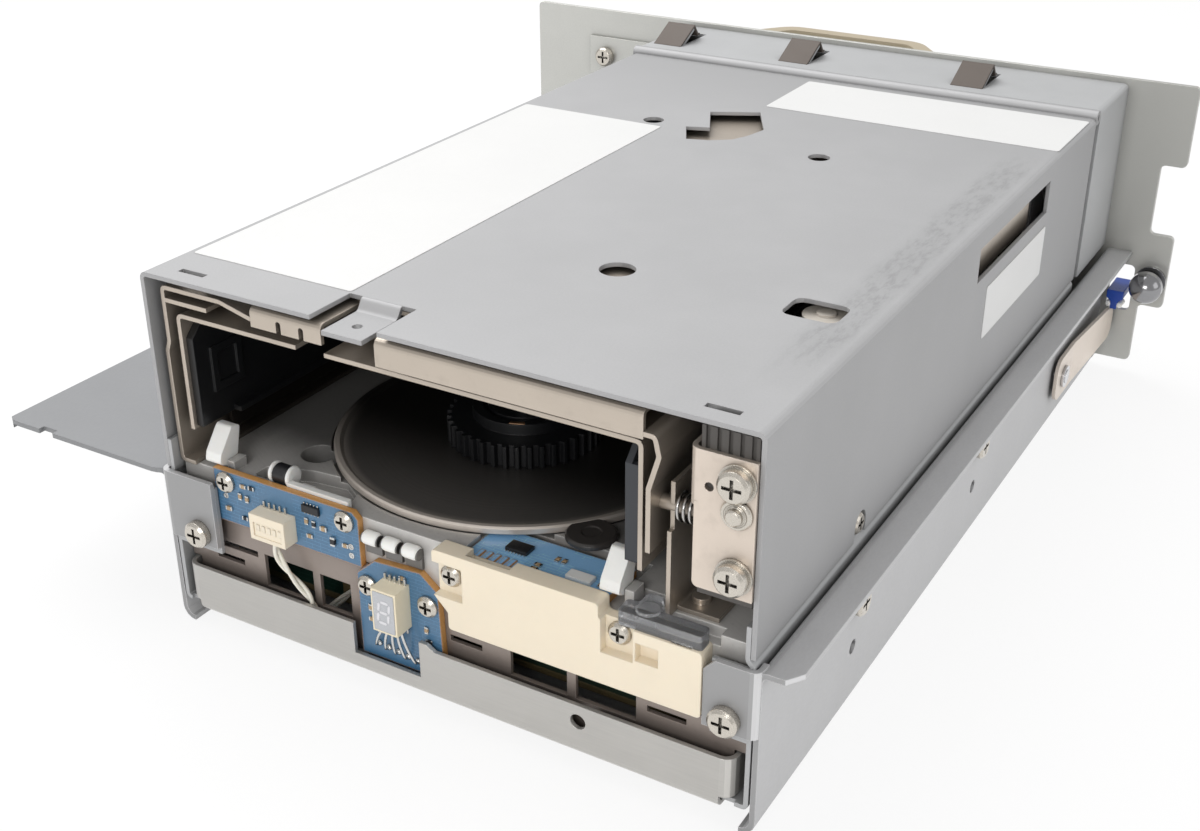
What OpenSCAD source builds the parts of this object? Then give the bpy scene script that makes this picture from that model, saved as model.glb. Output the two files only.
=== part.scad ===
/* [Drive] */
// Width of the drive
drive_w = 146; // [143:1:149]
// Height of the drive, from its lower shell to its top cover
drive_h = 82.5; // [81:0.5:85]
// Depth of the drive, from its front edge to the rolled hem
drive_d = 213; // [211:1:217]
// Thickness of the drive's sheet metal
cover_t = 1; // [0.8:0.1:1.2]
// How far the top cover's side skirts come down
skirt_h = 47; // [46:0.5:47.5]

/* [Sled] */
// Depth of the sled, from its front edge to the back plate
sled_d = 249; // [247:1:265]
// Thickness of the sled's sheet metal
sled_t = 1.2; // [1:0.1:1.4]
// Gap between the drive's side and the sled's wall
side_gap = 0.4; // [0.3:0.1:0.6]
// Height of the bosses that carry the drive above the sled's floor
boss_h = 4.8; // [4:0.2:6]
// How far the sled's ledge and wing lie below the top cover
ledge_drop = 49; // [48.5:0.5:50]
// How far the right ledge stands out from the drive's side
ledge_w = 8.5; // [7:0.5:11]
// How far the left wing stands out from the drive's side
wing_w = 54; // [45:1:57]
// Width of each front ear, from the drive's side inwards
ear_w = 10; // [9.5:0.5:11]
// Height of each front ear
ear_h = 15.5; // [15:0.5:17]
// Height of the front lip's top edge
lip_h = 16.7; // [15:0.1:17.5]

/* [Back plate] */
// Thickness of the back plate
plate_t = 1.5; // [1.2:0.1:2.5]
// Reach of the back plate to the left of the centre line
plate_left = 131; // [129:1:140]
// Reach of the back plate to the right of the centre line
plate_right = 92.8; // [92:0.2:98]
// Rise of the back plate above the top cover
plate_rise = 3; // [2:0.5:6]
// Depth of the notches in the back plate's right edge
notch_in = 7.2; // [5:0.2:8]
// Radius of the guide pin's shank
pin_r = 2.4; // [2:0.1:3]
// Radius of the guide pin's ball
ball_r = 4.8; // [4:0.1:5]

/* [Loader] */
// Width of the cartridge that the bay takes
cart_w = 105.4; // [104:0.2:105.8]
// Width of the cartridge cage
cage_w = 114.5; // [114:0.1:114.8]
// Depth of the cartridge cage
cage_d = 74; // [70:1:76]
// Thickness of the loader's sheet metal
loader_t = 1; // [0.8:0.1:1]
// Number of teeth on the loader gear
gear_teeth = 17; // [15:1:18]
// Number of teeth on the motor's pinion
pinion_teeth = 10; // [9:1:11]

/* [Reels] */
// Radius of the disc under the cartridge
disc_r = 44; // [40:0.5:45]
// Radius of the toothed chuck
chuck_r = 18; // [16:0.5:19]
// Number of teeth on the chuck
chuck_teeth = 40; // [24:2:48]
// Radius of the take-up reel's flanges
takeup_r = 43; // [38:0.5:43]
// Radius of the take-up reel's hub
hub_r = 22; // [18:0.5:24]
// Radius of a tape guide roller
roller_r = 5; // [4:0.5:5.5]
// Width of the tape between the flanges
tape_w = 12.65; // [12:0.05:13]

/* [Boards] */
// Thickness of a circuit board
board_t = 1.6; // [1.2:0.1:1.8]
// Width of the sensor board
sensor_w = 40.5; // [38:0.5:41]
// Height of the sensor board
sensor_h = 13.2; // [12:0.2:14]
// Width of the display board
display_w = 22.2; // [20:0.2:22.4]
// Width of the digit block
digit_w = 6.4; // [6:0.2:9]
// Height of the digit block
digit_h = 10.6; // [10:0.2:13.4]
// Radius of the sensor cable
cable_r = 1; // [0.8:0.1:1.1]

/* [Spring] */
// Mean radius of the pressure spring
spring_r = 2.5; // [2.4:0.1:2.8]
// Radius of the spring's wire
spring_wire_r = 0.35; // [0.3:0.01:0.36]
// Number of working curls in the spring
spring_curls = 4; // [3:1:4]

/* [Hidden] */

$fn = 48;
// Steps in the arc of a bend
arc_steps = 4;
// Overrun of a cut past the face that it opens
over = 1;
// Clearance of a running fit, on the radius
run_gap = 0.05;
// Clearance of a piece that sits in a hole
seat_gap = 0.02;
// Clearance round a piece that slides or passes through
slide_gap = 0.3;

// Levels, and how a depth below the top cover is found
half_w = drive_w / 2;
drive_z = sled_t + boss_h;
top_z = drive_z + drive_h;
function down(depth) = top_z - depth;

// Sled
wall_in = half_w + side_gap;
wall_out = wall_in + sled_t;
ledge_z = down(ledge_drop);
sled_bend = 2.2;
floor_y = 10;
ledge_cut_w = 2.4;
ledge_cut_d = 3.6;
left_ear_w = 13.5;
ear_chamfer = 2.5;
ear_root = 3;
ear_screw_in = 5;
left_ear_screw_in = 8.7;
ear_screw_drop = 61.4;
boss_r = 6;
boss_x = 56;
boss_y = [34, 178];
boss_hole_r = 1.7;
side_screw_y = 47.4;
side_screw_pitch = 79.25;
side_screw_up = 21.84;
side_hole_up = 9.9;
side_hole_r = 1.75;

// Left wing
wing_curl_h = 3;
wing_skirt_h = 8;
wing_round = 4;
wing_notch_w = 4.5;
wing_notch_d = 1.6;
wing_notch_x = 36;

// Front lip
lip_t = 1;
lip_y = -0.5;
lip_left = 71;
lip_right = 69.8;
lip_return = 7;
lip_return_r = 3;
lip_corner = 1.5;
lip_under = 4;
lip_joggle_y = 12;
lip_joggle = 3;
lip_foot_y = 27;
lip_bend = 2.4;
lip_cut_x = -22.2;
lip_cut_w = 17.8;
lip_cut_h = 7.8;
lip_step_w = 5.6;
lip_step_h = 1.3;
lip_hole_x = 35;
lip_hole_drop = 4;
lip_hole_r = 1.8;

// Back plate
plate_y = sled_d;
plate_back = plate_y + plate_t;
notch_drops = [21, 42.5, 65.5, 84.6];
plate_foot = 2;
foot_in = 18;
plate_round = 1.5;
plate_hole_in = 11;
plate_hole_drop = 70;
plate_hole_pitch = 30;
plate_hole_r = 2.25;
port_x = -52;
port_w = 44;
port_drop = 54;
port_h = 13;
port_front = 14;
port_back = 2;
port_flange = 2.5;
port_flange_t = 1.5;
port_bay_w = 13.6;
port_bay_h = 8.6;
port_bay_d = 12;
port_bays = 2;
port_bay_pitch = 20;
fan_size = 40;
fan_d = 12;
fan_x = 32;
fan_drop = 34;
fan_bore_r = 18.5;
fan_hub_r = 9;
fan_hub_wall = 1.4;
fan_floor_t = 1.6;
fan_blades = 7;
fan_blade_t = 1.2;
fan_blade_r = 17.6;
fan_blade_lean = 35;
fan_pin_r = 1.5;
fan_spoke_w = 2.4;
fan_spokes = 4;
grille_ring_w = 1.2;
grille_pitch = 4.2;
grille_rings = 4;

// Plate bracket
brk_x = -109.6;
brk_top = 6;
brk_h = 13.2;
brk_t = 1;
brk_reach = 16;
brk_bend = 2;
brk_screw_in = 6.2;

// Guide pin
pin_x = 88.2;
pin_drop = 57.2;
pin_len = 6.4;
pin_flange_r = 4.6;
// Depth that the turned land takes off the ball's round
ball_land = 0.1;
pin_flange_t = 1;

// Latch lever and its tab
latch_t = 1;
latch_gap = 1;
latch_y0 = 195.5;
latch_bend_y = 212;
latch_end_y = 247;
latch_drop = 66;
latch_h = 13;
latch_end_h = 10.5;
latch_flare = 2.6;
latch_round = 4;
latch_pivot_y = 203;
latch_pivot_drop = 73;
latch_pin_r = 2;
latch_head_r = 3.2;
latch_head_t = 0.8;
latch_washer_r = 3.6;
tab_w = 5;
tab_in = 1.6;
tab_h = 6;
tab_y0 = 242.5;
tab_y1 = 254;
tab_round = 1;
tab_window_side = 1;
tab_window_up = 6.6;
tab_window_low = 2.2;

// Rear hood
hood_gap = 0.2;
hood_rise = 1.5;
hood_foot = 48;
hood_bend = 1.5;
lance_w = 9;
lance_x = [-65.5, -22, 32.8];
lance_y = 223.5;
lance_d = 17;
lance_run = 8;
lance_rise = 4.2;

// Rear handle
handle_left = 60;
handle_right = 14;
handle_foot = 7;
handle_d = 25;
handle_slope = 14;
handle_t = 5;
handle_h = 9;
handle_drop = 1;
handle_round = 9;

// Base frame
seam_gap = 0.3;
neck_gap = 0.1;
neck_h = 7;
joggle_h = 1.3;
base_bend = 1.3;
rear_wall_y = 211;
rear_top_drop = 3;
rear_window_side = 14;
rear_window_top = 20;
rear_window_low = 12;
flange_drop = 49.4;
flange_h = 17;
left_flange_w = 13.5;
right_flange_w = 8.8;

// Top cover
cover_bend = 1.6;
slot_w = 7;
slot_d = 1.6;
slot_in = 10.7;
slot_y = 4;
notch_x = -26.8;
notch_w = 16.8;
notch_d = 13;
flap_x = -23.5;
flap_w = 10;
flap_drop = 2.4;
flap_run = 1.6;
flap_over = 0.6;
flap_bend = 1.3;
flap_hole_r = 1.1;
flap_hole_y = 4.6;
cover_holes = [[14, 51.7, 4], [-32, 151.7, 2.85], [20.5, 143.7, 2.85]];
gear_window_x = 53;
gear_window_w = 12;
gear_window_y = 48;
gear_window_d = 9.5;
gear_window_r = 2.2;
step_x = -22.1;
step_w = 20.2;
step_y = 140.8;
step_d = 32.2;
// Corners of the stepped opening over the threader, as shares of its width and depth
step_shares = [[0.03, 0.31], [0.29, 0], [0.58, 0.06], [0.82, 0.17], [0.93, 0.33], [1, 0.55], [0.61, 1],
    [0, 0.8], [0.33, 0.38]];
side_window_y = 115;
side_window_d = 56;
side_window_drop = 5.2;
side_window_h = 8.5;
cover_screw_y = 50;
cover_screw_drop = 43.8;
cover_notch_r = 3;
hem_r = 2;
hem_bore_r = 0.9;
hem_root = 0.6;

// Front plate
front_y = 3;
front_t = 1;
front_gap = 0.2;
front_top = 57.6;
front_foot = 5.5;
vent_drop = 64.8;
vent_h = 8.4;
vent_x = [-64, -49.5, -33.5, 1.5, 16.7, 32.5, 49];
vent_w = [12.5, 14, 8.5, 12.5, 13.7, 14, 13.5];
slotted_vents = [0, 3, 6];
vent_slot_h = 1.5;
vent_slot_pitch = 3.6;
// Width of a lower slot, as a share of the upper one
vent_slot_share = 0.65;

// Deck casting
deck_drop = 46;
deck_t = 5;
deck_x = 70.5;
deck_back = 207;
rim_x = 66;
rim_t = 4;
rim_drop = 57.2;
recess_x = 5.6;
recess_w = 36.4;
recess_d = 15.5;
recess_y = front_y + recess_d - rim_t / 4;
guide_recess_w = 22.5;
guide_recess_d = 2.4;
guide_side_w = 9;
guide_side_d = 6.4;
recess_gap = 0.3;
recess_drop = 48.6;
deck_leg = 7;
leg_y = [9, 195];
deck_hole_x = -45.6;
deck_hole_y = 20;
deck_hole_r = 4.2;
pocket_x = -52;
pocket_w = 26.5;
pocket_y = 5.2;
pocket_d = 9;
pocket_deep = 3;
pocket_round = 1.2;
// Corners of the shallow pocket at the deck's left front, as shares of its width and depth
pocket_shares = [[0, 0], [0.88, 0], [1, 0.12], [0.95, 0.55], [0.72, 1], [0.4, 0.9], [0, 0.5]];
disc_recess_gap = 0.7;
disc_recess = 1.3;

// Reels
cage_left = -67.1;
bay_x = -10.3;
chuck_y = 51.5;
disc_top = 45.3;
disc_t = 0.8;
rim_h = 0.8;
rim_w = 1.4;
spindle_r = 3;
chuck_h = 5.4;
chuck_tooth_out = 1.1;
// Half width of a chuck tooth at its root and its tip, as shares of the tooth pitch
chuck_root_share = 0.3;
chuck_tip_share = 0.16;
boss_ring_r = 12;
boss_ring_h = 2.6;
groove_r = 9.6;
groove_w = 1.2;
groove_d = 1;
tip_r = 2.2;
tip_h = 1.6;
rotor_r = 21;
rotor_wall = 1.4;
rotor_h = 8;
rotor_gap = 0.8;
stator_r = 18.4;
stator_h = 5.8;
stator_bore_r = 4.4;
takeup_x = -24;
takeup_y = 164;
takeup_base = 38.4;
flange_t = 1;
tape_room = 0.6;
groove_depth = 8;
arm_slot_gap = 0.7;
slot_sweep = 70;
roller_out = 33;
roller_angles = [-50, -23, 23, 55];
roller_flange_w = 1;
roller_flange_t = 1;
post_r = 2;
post_shoulder_r = 3.4;
post_cap_r = 3.2;
post_cap_t = 1;

// Head
head_x = 22.5;
head_len = 17.5;
head_w = 11;
head_h = 16;
head_drop = 22.8;
head_nose_r = 5.5;
head_nose = 5;
head_lift = 3;
head_gap = 1;
head_base_x = 19;
head_base_w = 22;
shaft_r = 1.5;
shaft_x = [27, 35];

// Threader
threader_drop = 2.6;
threader_t = 1;
threader_x0 = -34;
threader_x1 = 70;
threader_y0 = 114;
threader_y1 = 207;
threader_round = 3;
threader_bend = 1.3;
// Span and height of the flange bent down behind the side window
threader_flange_y = [116, 164];
threader_flange_h = 13.4;
threader_posts = [[66, 118], [66, 184], [20, 203]];
threader_post_r = 2.4;
arm_x = 16.5;
arm_y = 150;
arm_rest = -62.5;
arm_drop = 6.4;
arm_t = 2;
arm_w = 8;
arm_pin_r = 2.5;
arm_hub_r = 6;
arm_cap_r = 4;
arm_cap_t = 1;
arm_gap = 0.3;
grab_r = 2.2;
grab_low = 31;

// Loader sheet metal
loader_y = 0.8;
loader_drop = 2.1;
loader_back = 111;
loader_bend = 1.5;
flange_a_x = -43.5;
flange_a_w = 18.5;
flange_a_low = 6.6;
hook_w = 1.3;
hook_h = 2;
// Places of the hook notches, as shares of the plated flange's width
hook_shares = [0.4, 0.72];
flange_b_x = -11.6;
flange_b_w = 60.1;
flange_b_low = 8;
top_notch_y = 14;
top_left = -66;
top_left_y = 10;
stud_x = -25.6;
stud_y = 15.6;
stud_r = 1.3;
stud_h = 1;
left_wall_y = 2;
left_wall_d = 106;
left_low_x = -70.6;
left_up_x = -69.7;
left_step_drop = 18.6;
left_step_h = 2.4;
left_foot_w = 4.4;
left_slope_x = -53;
left_end_x = -44.6;
left_end_drop = 5.2;
hem_strip_x = -57;
hem_strip_drop = 6;
hem_strip_d = 6;
right_wall_d = 26;
right_step_x = 51.3;
right_step_drop = 6.4;
right_knee_x = 52.3;
right_knee_drop = 10.8;
right_low_x = 49.7;
right_low_drop = 18;
right_foot_drop = 31.5;

// Loader slide and cage
cage_y = 3;
cage_drop = 9.5;
cage_low = 37.5;
cage_bend = 1.6;
cage_notch_x = -34;
cage_notch_w = 7.5;
cage_notch_d = 15;
lift_travel = 6;
slide_t = 0.8;
slide_drop = 7.9;
slide_y = 16;
slide_len = 62;
slide_low = 43;
tie_d = 26;
slide_bend = 1.4;
lift_y = [22, 70];
lift_drop = 29;
lift_r = 1.2;
lift_out = 1.2;
rack_drop = 22;
rack_h = 5;
rack_y0 = 30;
rack_y1 = 65;
module_size = 1;
// Height and half width of a gear tooth at its root, pitch line and tip, as shares of the module
tooth_shares = [[-1, 0.68], [0, 0.64], [0.7, 0.38]];
// The same for a straight tooth of the rack
rack_shares = [[-1, 0.96], [0.7, 0.38]];
gear_x = 59;
gear_y = 58.5;
gear_drop = 22.3;
gear_h = 4.4;
gear_hub_r = 5;
gear_top = 3;
gear_nub_r = 1.6;
gear_nub_h = 0.5;
gear_pin_r = 1.5;
gear_pin_top = 3.8;
pinion_x = 64.5;
motor_r = 5.6;
motor_top = 28;
motor_shaft_r = 1;
shaft_over = 0.6;

// Guides in the cage
guide_y = 4;
guide_len = 70;
guide_drop = 12.6;
guide_low = 36.8;
left_guide_t = 1.6;
right_guide_t = 1.4;
cart_gap = 0.7;
rail_y = 14;
rail_w = 3.6;
rail_t = 1.2;
guide_chamfer = 3;
rib_w = 1.4;
rib_count = 5;
boss_frame_y = 8.5;
boss_frame_w = 9.5;
boss_frame_drop = 19.2;
boss_frame_h = 10.8;
boss_frame_t = 0.5;
boss_frame_rim = 1.8;

// White levers
lever_w = 4.4;
lever_y = 6;
lever_up = 1.4;
lever_l = 8;
lever_pin_r = 0.8;
lever_round = 0.9;
lever_left_x = -63;
lever_right_x = 38.6;
lug_w = 2;
lug_gap = 0.2;
lug_d = 4;
lug_h = 2.4;
// Corners of a lever about its pivot, as shares of its length
lever_shares = [[-0.16, -0.1], [0.16, -0.1], [0.42, 0.98], [0.1, 1.02], [-0.42, 0.36], [-0.5, 0.08]];

// Guide block, screw bracket, side bracket and spring
block_x = 60.5;
block_gap = 0.3;
block_d = 34;
block_top = 1.3;
block_low = 36;
block_leg_y = 16;
groove_count = 5;
groove_pitch = 2.2;
block_groove_w = 0.8;
block_groove_d = 0.6;
brace_t = 1;
brace_y = -0.8;
brace_top = 5.8;
brace_h = 28.5;
brace_x = 58.4;
brace_low_x = 59.8;
brace_fold_h = 11.6;
brace_fold_d = 6;
brace_bend = 2.2;
brace_round = 1.2;
brace_screw_x = 68.3;
brace_screw_drops = [10.4, 29.6];
brace_hole_x = 62.7;
brace_hole_drop = 12.8;
brace_hole_r = 0.9;
stud_drop = 16.7;
stud_ring_r = 2.6;
stud_ring_t = 0.7;
stud_pin_r = 1.5;
stud_pin_h = 1.6;
side_x = 52.6;
side_t = 0.9;
side_top = 17;
side_y = 3;
side_d = 11;
side_bend = 1.4;
side_step_drop = 27;
side_step = 1.2;
side_foot_x = 62.4;
side_foot_y = 6.2;
foot_stud_x = 56.6;
foot_stud_y = 10.4;
foot_stud_r = 1.9;
foot_stud_h = 1.2;
spring_y = 5.6;
spring_drop = 22.4;
spring_pin_r = 1.5;
spring_rest = 0.15;

// Front bracket, moulded
fb_x = 1.2;
fb_right = 62.8;
fb_y = -1.5;
fb_wall = 1.5;
fb_top = 44.8;
fb_low = 63.2;
fb_left_low = 55.7;
fb_step_x = 40.4;
fb_step_top = 48.2;
fb_left_cut = 3.4;
fb_left_cut_h = 7;
fb_shelf_x = 8.6;
fb_shelf_w = 10.6;
fb_shelf_h = 1.6;
fb_screw_in = 3.4;
fb_screw_drop = 51.2;
fb_screw_right = 44.2;
fb_pocket_w = 7.2;
fb_pocket_h = 8;
fb_pocket_deep = 2.2;
fb_small_x = 48.6;
fb_small_w = 5;
fb_small_h = 4.2;
fb_small_drop = 50.8;
fb_slot_x = 56;
fb_slot_w = 4.4;
fb_slot_d = 2;
fb_slot_y = 0.4;
fb_round = 0.8;

// Light guide
lg_top = 45;
lg_x = 44.2;
lg_w = 18.2;
lg_y = -0.9;
lg_d = 8.8;
lg_round = 0.8;
lg_boss_x = 49.6;
lg_boss_y = 1.8;
lg_boss_r = 2.4;
lg_boss_h = 0.8;
// Corners of the light guide, as shares of its width and depth
lg_shares = [[0, 0], [1, 0], [1, 0.42], [0.4, 0.42], [0.32, 0.94], [0.14, 0.94], [0.14, 0.5], [0, 0.5]];

// Boards
mb_gap = 0.3;
mb_w = 33.4;
mb_d = 12.4;
mb_chip_x = 28.6;
mb_chip_w = 5.4;
mb_chip_y = 6;
mb_chip_d = 2.4;
mb_chip_h = 0.7;
contact_x = 8.2;
contact_count = 5;
contact_w = 1.1;
contact_d = 3;
contact_pitch = 1.9;
contact_h = 0.3;
sb_x = -60.4;
sb_top = 44.6;
sb_chamfer = 1.5;
sb_screw_in = 3.6;
sb_screw_drop = 47.3;
conn_x = -47.3;
conn_w = 9.8;
conn_drop = 50.4;
conn_h = 6.4;
conn_d = 4;
conn_wall = 1;
conn_mouth_h = 3.4;
db_x = -21.4;
db_top = 54.2;
db_low = 80;
db_left_cut = 5;
db_left_cut_h = 5.2;
db_right_cut = 5.2;
db_right_cut_h = 3.6;
db_lean = 1.6;
digit_x = -13.8;
digit_drop = 58;
digit_d = 5;
digit_pins = 5;
digit_pin_r = 0.3;
digit_pin_out = 1.5;
digit_pin_y = 0.7;
db_screw_left = 3;
db_screw_right = 3.4;
db_screw_drop = 61.7;
cf_x = -18.9;
cf_w = 4.3;
cf_pitch = 5.2;
cf_count = 3;
cf_top = 49.8;
cf_low = 53.8;
cf_t = 0.8;
cf_pad_r = 1.3;
main_drop = 78.2;
main_x = 62.5;
main_y = 14;
main_d = 186;
standoff_r = 3;
standoff_x = 56;
chip_size = 27;
chip_h = 2.4;
chip_x = -30;
chip_y = [70, 130];
sink_x = 2;
sink_w = 58;
sink_y = 16;
sink_d = 36;
sink_base_t = 2;
sink_fins = 13;
sink_fin_t = 1;
sink_h = 11;
header_w = 6;
header_h = 3.4;
header_d = 5;
header_y = 15;
cable_hole_gap = 0.35;

// Route of the sensor cable, from its connector to the header on the main board
cable_route = [[-42.4, -0.6, -56.8], [-42.3, -0.6, -59], [-41.6, -0.5, -61.5], [-40.2, -0.2, -64],
    [-38.6, 0.4, -66.5], [-37, 1.1, -69], [-35.8, 1.6, -71.2], [-35.2, 1.75, -73], [-34.9, 1.9, -74.6],
    [-34.8, 2.5, -75.9], [-34.8, 3.6, -76.5], [-34.8, 6, -76.5], [-34.8, 10, -76.5], [-34.8, 15, -76.5]];
cable_sides = 8;

// Screws and rivets
big_head_r = 3.2;
big_head_h = 2.3;
big_round = 0.6;
washer_r = 3.7;
washer_t = 0.6;
big_shank_r = 1.5;
big_shank_l = 3.6;
small_head_r = 2.5;
small_head_h = 1.3;
small_shank_r = 1;
small_shank_l = 3;
cross_w = 0.7;
cross_deep = 0.9;
// Length of the cross recess as a share of the head's width
cross_share = 0.6;
rivet_r = 1.6;
rivet_head_r = 2.6;
rivet_head_t = 0.7;
rivet_y = [30, 90, 150, 220];
rivet_drop = 5;

// Paths and outlines
function unit(v) = v / norm(v);
function turned(v, a) = [v[0] * cos(a) - v[1] * sin(a), v[0] * sin(a) + v[1] * cos(a)];
function polar(r, a) = [r * cos(a), r * sin(a)];
function left_of(v) = [-v[1], v[0]];
function backwards(list) = [for (i = [len(list) - 1 : -1 : 0]) list[i]];
// Points of the round that replaces corner b between a and c
function round_at(a, b, c, r) =
    let (u = unit(a - b),
         v = unit(c - b),
         half = acos(max(-1, min(1, u * v))) / 2,
         cut = min(r / tan(half), norm(a - b) / 2, norm(c - b) / 2),
         centre = b + unit(u + v) * (cut / cos(half)),
         start = b + u * cut - centre,
         sweep = (180 - 2 * half) * sign(cross(b - a, c - b)))
    [for (k = [0 : arc_steps]) centre + turned(start, sweep * k / arc_steps)];
// Open path with its corners rounded
function bent(path, r) = [
    for (i = [0 : len(path) - 1])
        each (i == 0 || i == len(path) - 1) ? [path[i]] : round_at(path[i - 1], path[i], path[i + 1], r)];
// Closed outline with its corners rounded
function soft(points, r) = [
    for (i = [0 : len(points) - 1])
        each round_at(points[(i + len(points) - 1) % len(points)], points[i], points[(i + 1) % len(points)], r)];
// Point i of a path, moved t to the left of the path
function beside(path, i, t) =
    let (n1 = left_of(unit(path[max(i, 1)] - path[max(i, 1) - 1])),
         n2 = left_of(unit(path[min(i, len(path) - 2) + 1] - path[min(i, len(path) - 2)])))
    path[i] + (n1 + n2) * (t / (1 + n1 * n2));
// Corners of a rectangle
function box_points(x0, y0, x1, y1) = [[x0, y0], [x1, y0], [x1, y1], [x0, y1]];
// Shares of a width and a depth, placed from a corner
function placed(shares, x, y, w, d) = [for (s = shares) [x + s[0] * w, y + s[1] * d]];

// Sheet of thickness t along a path, to the left of it
module sheet(path, r, t) {
    line = bent(path, r);
    polygon(concat(line, backwards([for (i = [0 : len(line) - 1]) beside(line, i, t)])));
}

// Extrusions along each axis: of a (y, z), an (x, z) and an (x, y) outline
module along_x(x0, x1) {
    translate([x0, 0, 0]) rotate([90, 0, 90]) linear_extrude(x1 - x0) children();
}

module along_y(y0, y1) {
    translate([0, y1, 0]) rotate([90, 0, 0]) linear_extrude(y1 - y0) children();
}

module along_z(z0, z1) {
    translate([0, 0, z0]) linear_extrude(z1 - z0) children();
}

module block(x, y, z) {
    translate([x[0], y[0], z[0]]) cube([x[1] - x[0], y[1] - y[0], z[1] - z[0]]);
}

module rod_x(r, x, y, z) {
    translate([x[0], y, z]) rotate([0, 90, 0]) cylinder(h = x[1] - x[0], r = r);
}

module rod_y(r, x, y, z) {
    translate([x, y[1], z]) rotate([90, 0, 0]) cylinder(h = y[1] - y[0], r = r);
}

module rod_z(r, x, y, z) {
    translate([x, y, z[0]]) cylinder(h = z[1] - z[0], r = r);
}

// The part stands with its origin at the centre of the sled's base
module place() {
    translate([0, -sled_d / 2, 0]) children();
}

// Screw with a cross recess, its head standing along +Z from the origin
module screw(head_r, head_h, round_r, shank_r, shank_l, washer) {
    difference() {
        union() {
            rotate_extrude() polygon([[0, washer], [head_r, washer], [head_r, washer + head_h - round_r],
                [head_r - round_r, washer + head_h], [0, washer + head_h]]);
            translate([0, 0, -shank_l]) cylinder(h = shank_l + washer, r = shank_r);
            if (washer > 0) cylinder(h = washer, r = washer_r);
        }
        for (a = [0, 90])
            rotate([0, 0, a])
                translate([-head_r * cross_share, -cross_w / 2, washer + head_h - cross_deep])
                    cube([2 * head_r * cross_share, cross_w, cross_deep + over]);
    }
}

module big_screw(washer = 0) {
    screw(big_head_r, big_head_h, big_round, big_shank_r, big_shank_l, washer);
}

module small_screw() {
    screw(small_head_r, small_head_h, small_head_h / 2, small_shank_r, small_shank_l, 0);
}

// Places of the sled's side screws along the drive, and their levels
side_ys = [side_screw_y, side_screw_y + side_screw_pitch];
side_screw_z = drive_z + side_screw_up;
side_hole_z = drive_z + side_hole_up;

module side_holes(x0, x1) {
    for (y = side_ys) {
        rod_x(big_shank_r + run_gap, [x0, x1], y, side_screw_z);
        rod_x(side_hole_r, [x0, x1], y, side_hole_z);
    }
}

// Sled: a tray with a ledge on its right wall and two ears at the front
ledge_x = half_w + ledge_w;
left_ear_z = ledge_z + ear_chamfer / 2;

module ear(side, inner_x, z0, z1) {
    mirror([side < 0 ? 1 : 0, 0, 0])
        along_z(z0, z1)
            sheet([[inner_x, -sled_t], [wall_out, -sled_t], [wall_out, ear_root]], sled_bend, sled_t);
}

module sled_tray() {
    color([0.72, 0.73, 0.75]) place() difference() {
        union() {
            along_y(0, sled_d)
                sheet([[ledge_x, ledge_z], [wall_in, ledge_z], [wall_in, sled_t], [-wall_in, sled_t],
                    [-wall_in, ledge_z]], sled_bend, sled_t);
            ear(1, half_w - ear_w, ledge_z - ear_h, ledge_z);
            ear(-1, half_w - left_ear_w, left_ear_z - ear_h - ear_chamfer / 2, left_ear_z);
            for (x = [-boss_x, boss_x], y = boss_y) rod_z(boss_r, x, y, [0, drive_z]);
        }
        block([-wall_in + sled_bend, wall_in - sled_bend], [-over, floor_y], [-over, sled_t + over]);
        along_z(ledge_z - sled_t - over, ledge_z + over)
            polygon([[ledge_x - ledge_cut_w, -over - sled_t], [ledge_x - ledge_cut_w, 0],
                [ledge_x, ledge_cut_d], [ledge_x + over, ledge_cut_d], [ledge_x + over, -over - sled_t]]);
        along_y(-sled_t - over, -sled_t / 2 + sled_t) {
            polygon([[half_w - ear_w - over, ledge_z - ear_chamfer], [half_w - ear_w, ledge_z - ear_chamfer],
                [half_w - ear_w + ear_chamfer, ledge_z], [half_w - ear_w + ear_chamfer, ledge_z + over],
                [half_w - ear_w - over, ledge_z + over]]);
        }
        rod_y(big_shank_r + run_gap, half_w - ear_screw_in, [-sled_t - over, over], down(ear_screw_drop));
        rod_y(big_shank_r + run_gap, left_ear_screw_in - half_w, [-sled_t - over, over], down(ear_screw_drop));
        side_holes(-wall_out - over, wall_out + over);
        for (x = [-boss_x, boss_x], y = boss_y) rod_z(boss_hole_r, x, y, [-over, drive_z + over]);
        for (y = rivet_y)
            rod_x(rivet_r + run_gap, [-wall_out - over, -wall_in + over], y, ledge_z - rivet_drop);
        rod_x(latch_pin_r + run_gap, [wall_in - over, wall_out + over], latch_pivot_y, down(latch_pivot_drop));
    }
}

wing_x = half_w + wing_w;

module left_wing() {
    color([0.74, 0.75, 0.77]) place() difference() {
        intersection() {
            along_y(0, sled_d)
                sheet([[-wing_x, ledge_z - wing_curl_h], [-wing_x, ledge_z], [-wall_out, ledge_z],
                    [-wall_out, ledge_z - wing_skirt_h]], sled_bend, -sled_t);
            along_z(0, top_z)
                polygon(soft([[-wing_x, 0], [-wall_out, 0], [-wall_out, sled_d], [-wing_x, sled_d]],
                    wing_round));
        }
        block([-wall_out - wing_notch_x - wing_notch_w, -wall_out - wing_notch_x],
            [-over, wing_notch_d], [ledge_z - sled_t - over, ledge_z + over]);
        for (y = rivet_y)
            rod_x(rivet_r + run_gap, [-wall_out - sled_t - over, -wall_out + over], y, ledge_z - rivet_drop);
    }
}

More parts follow.
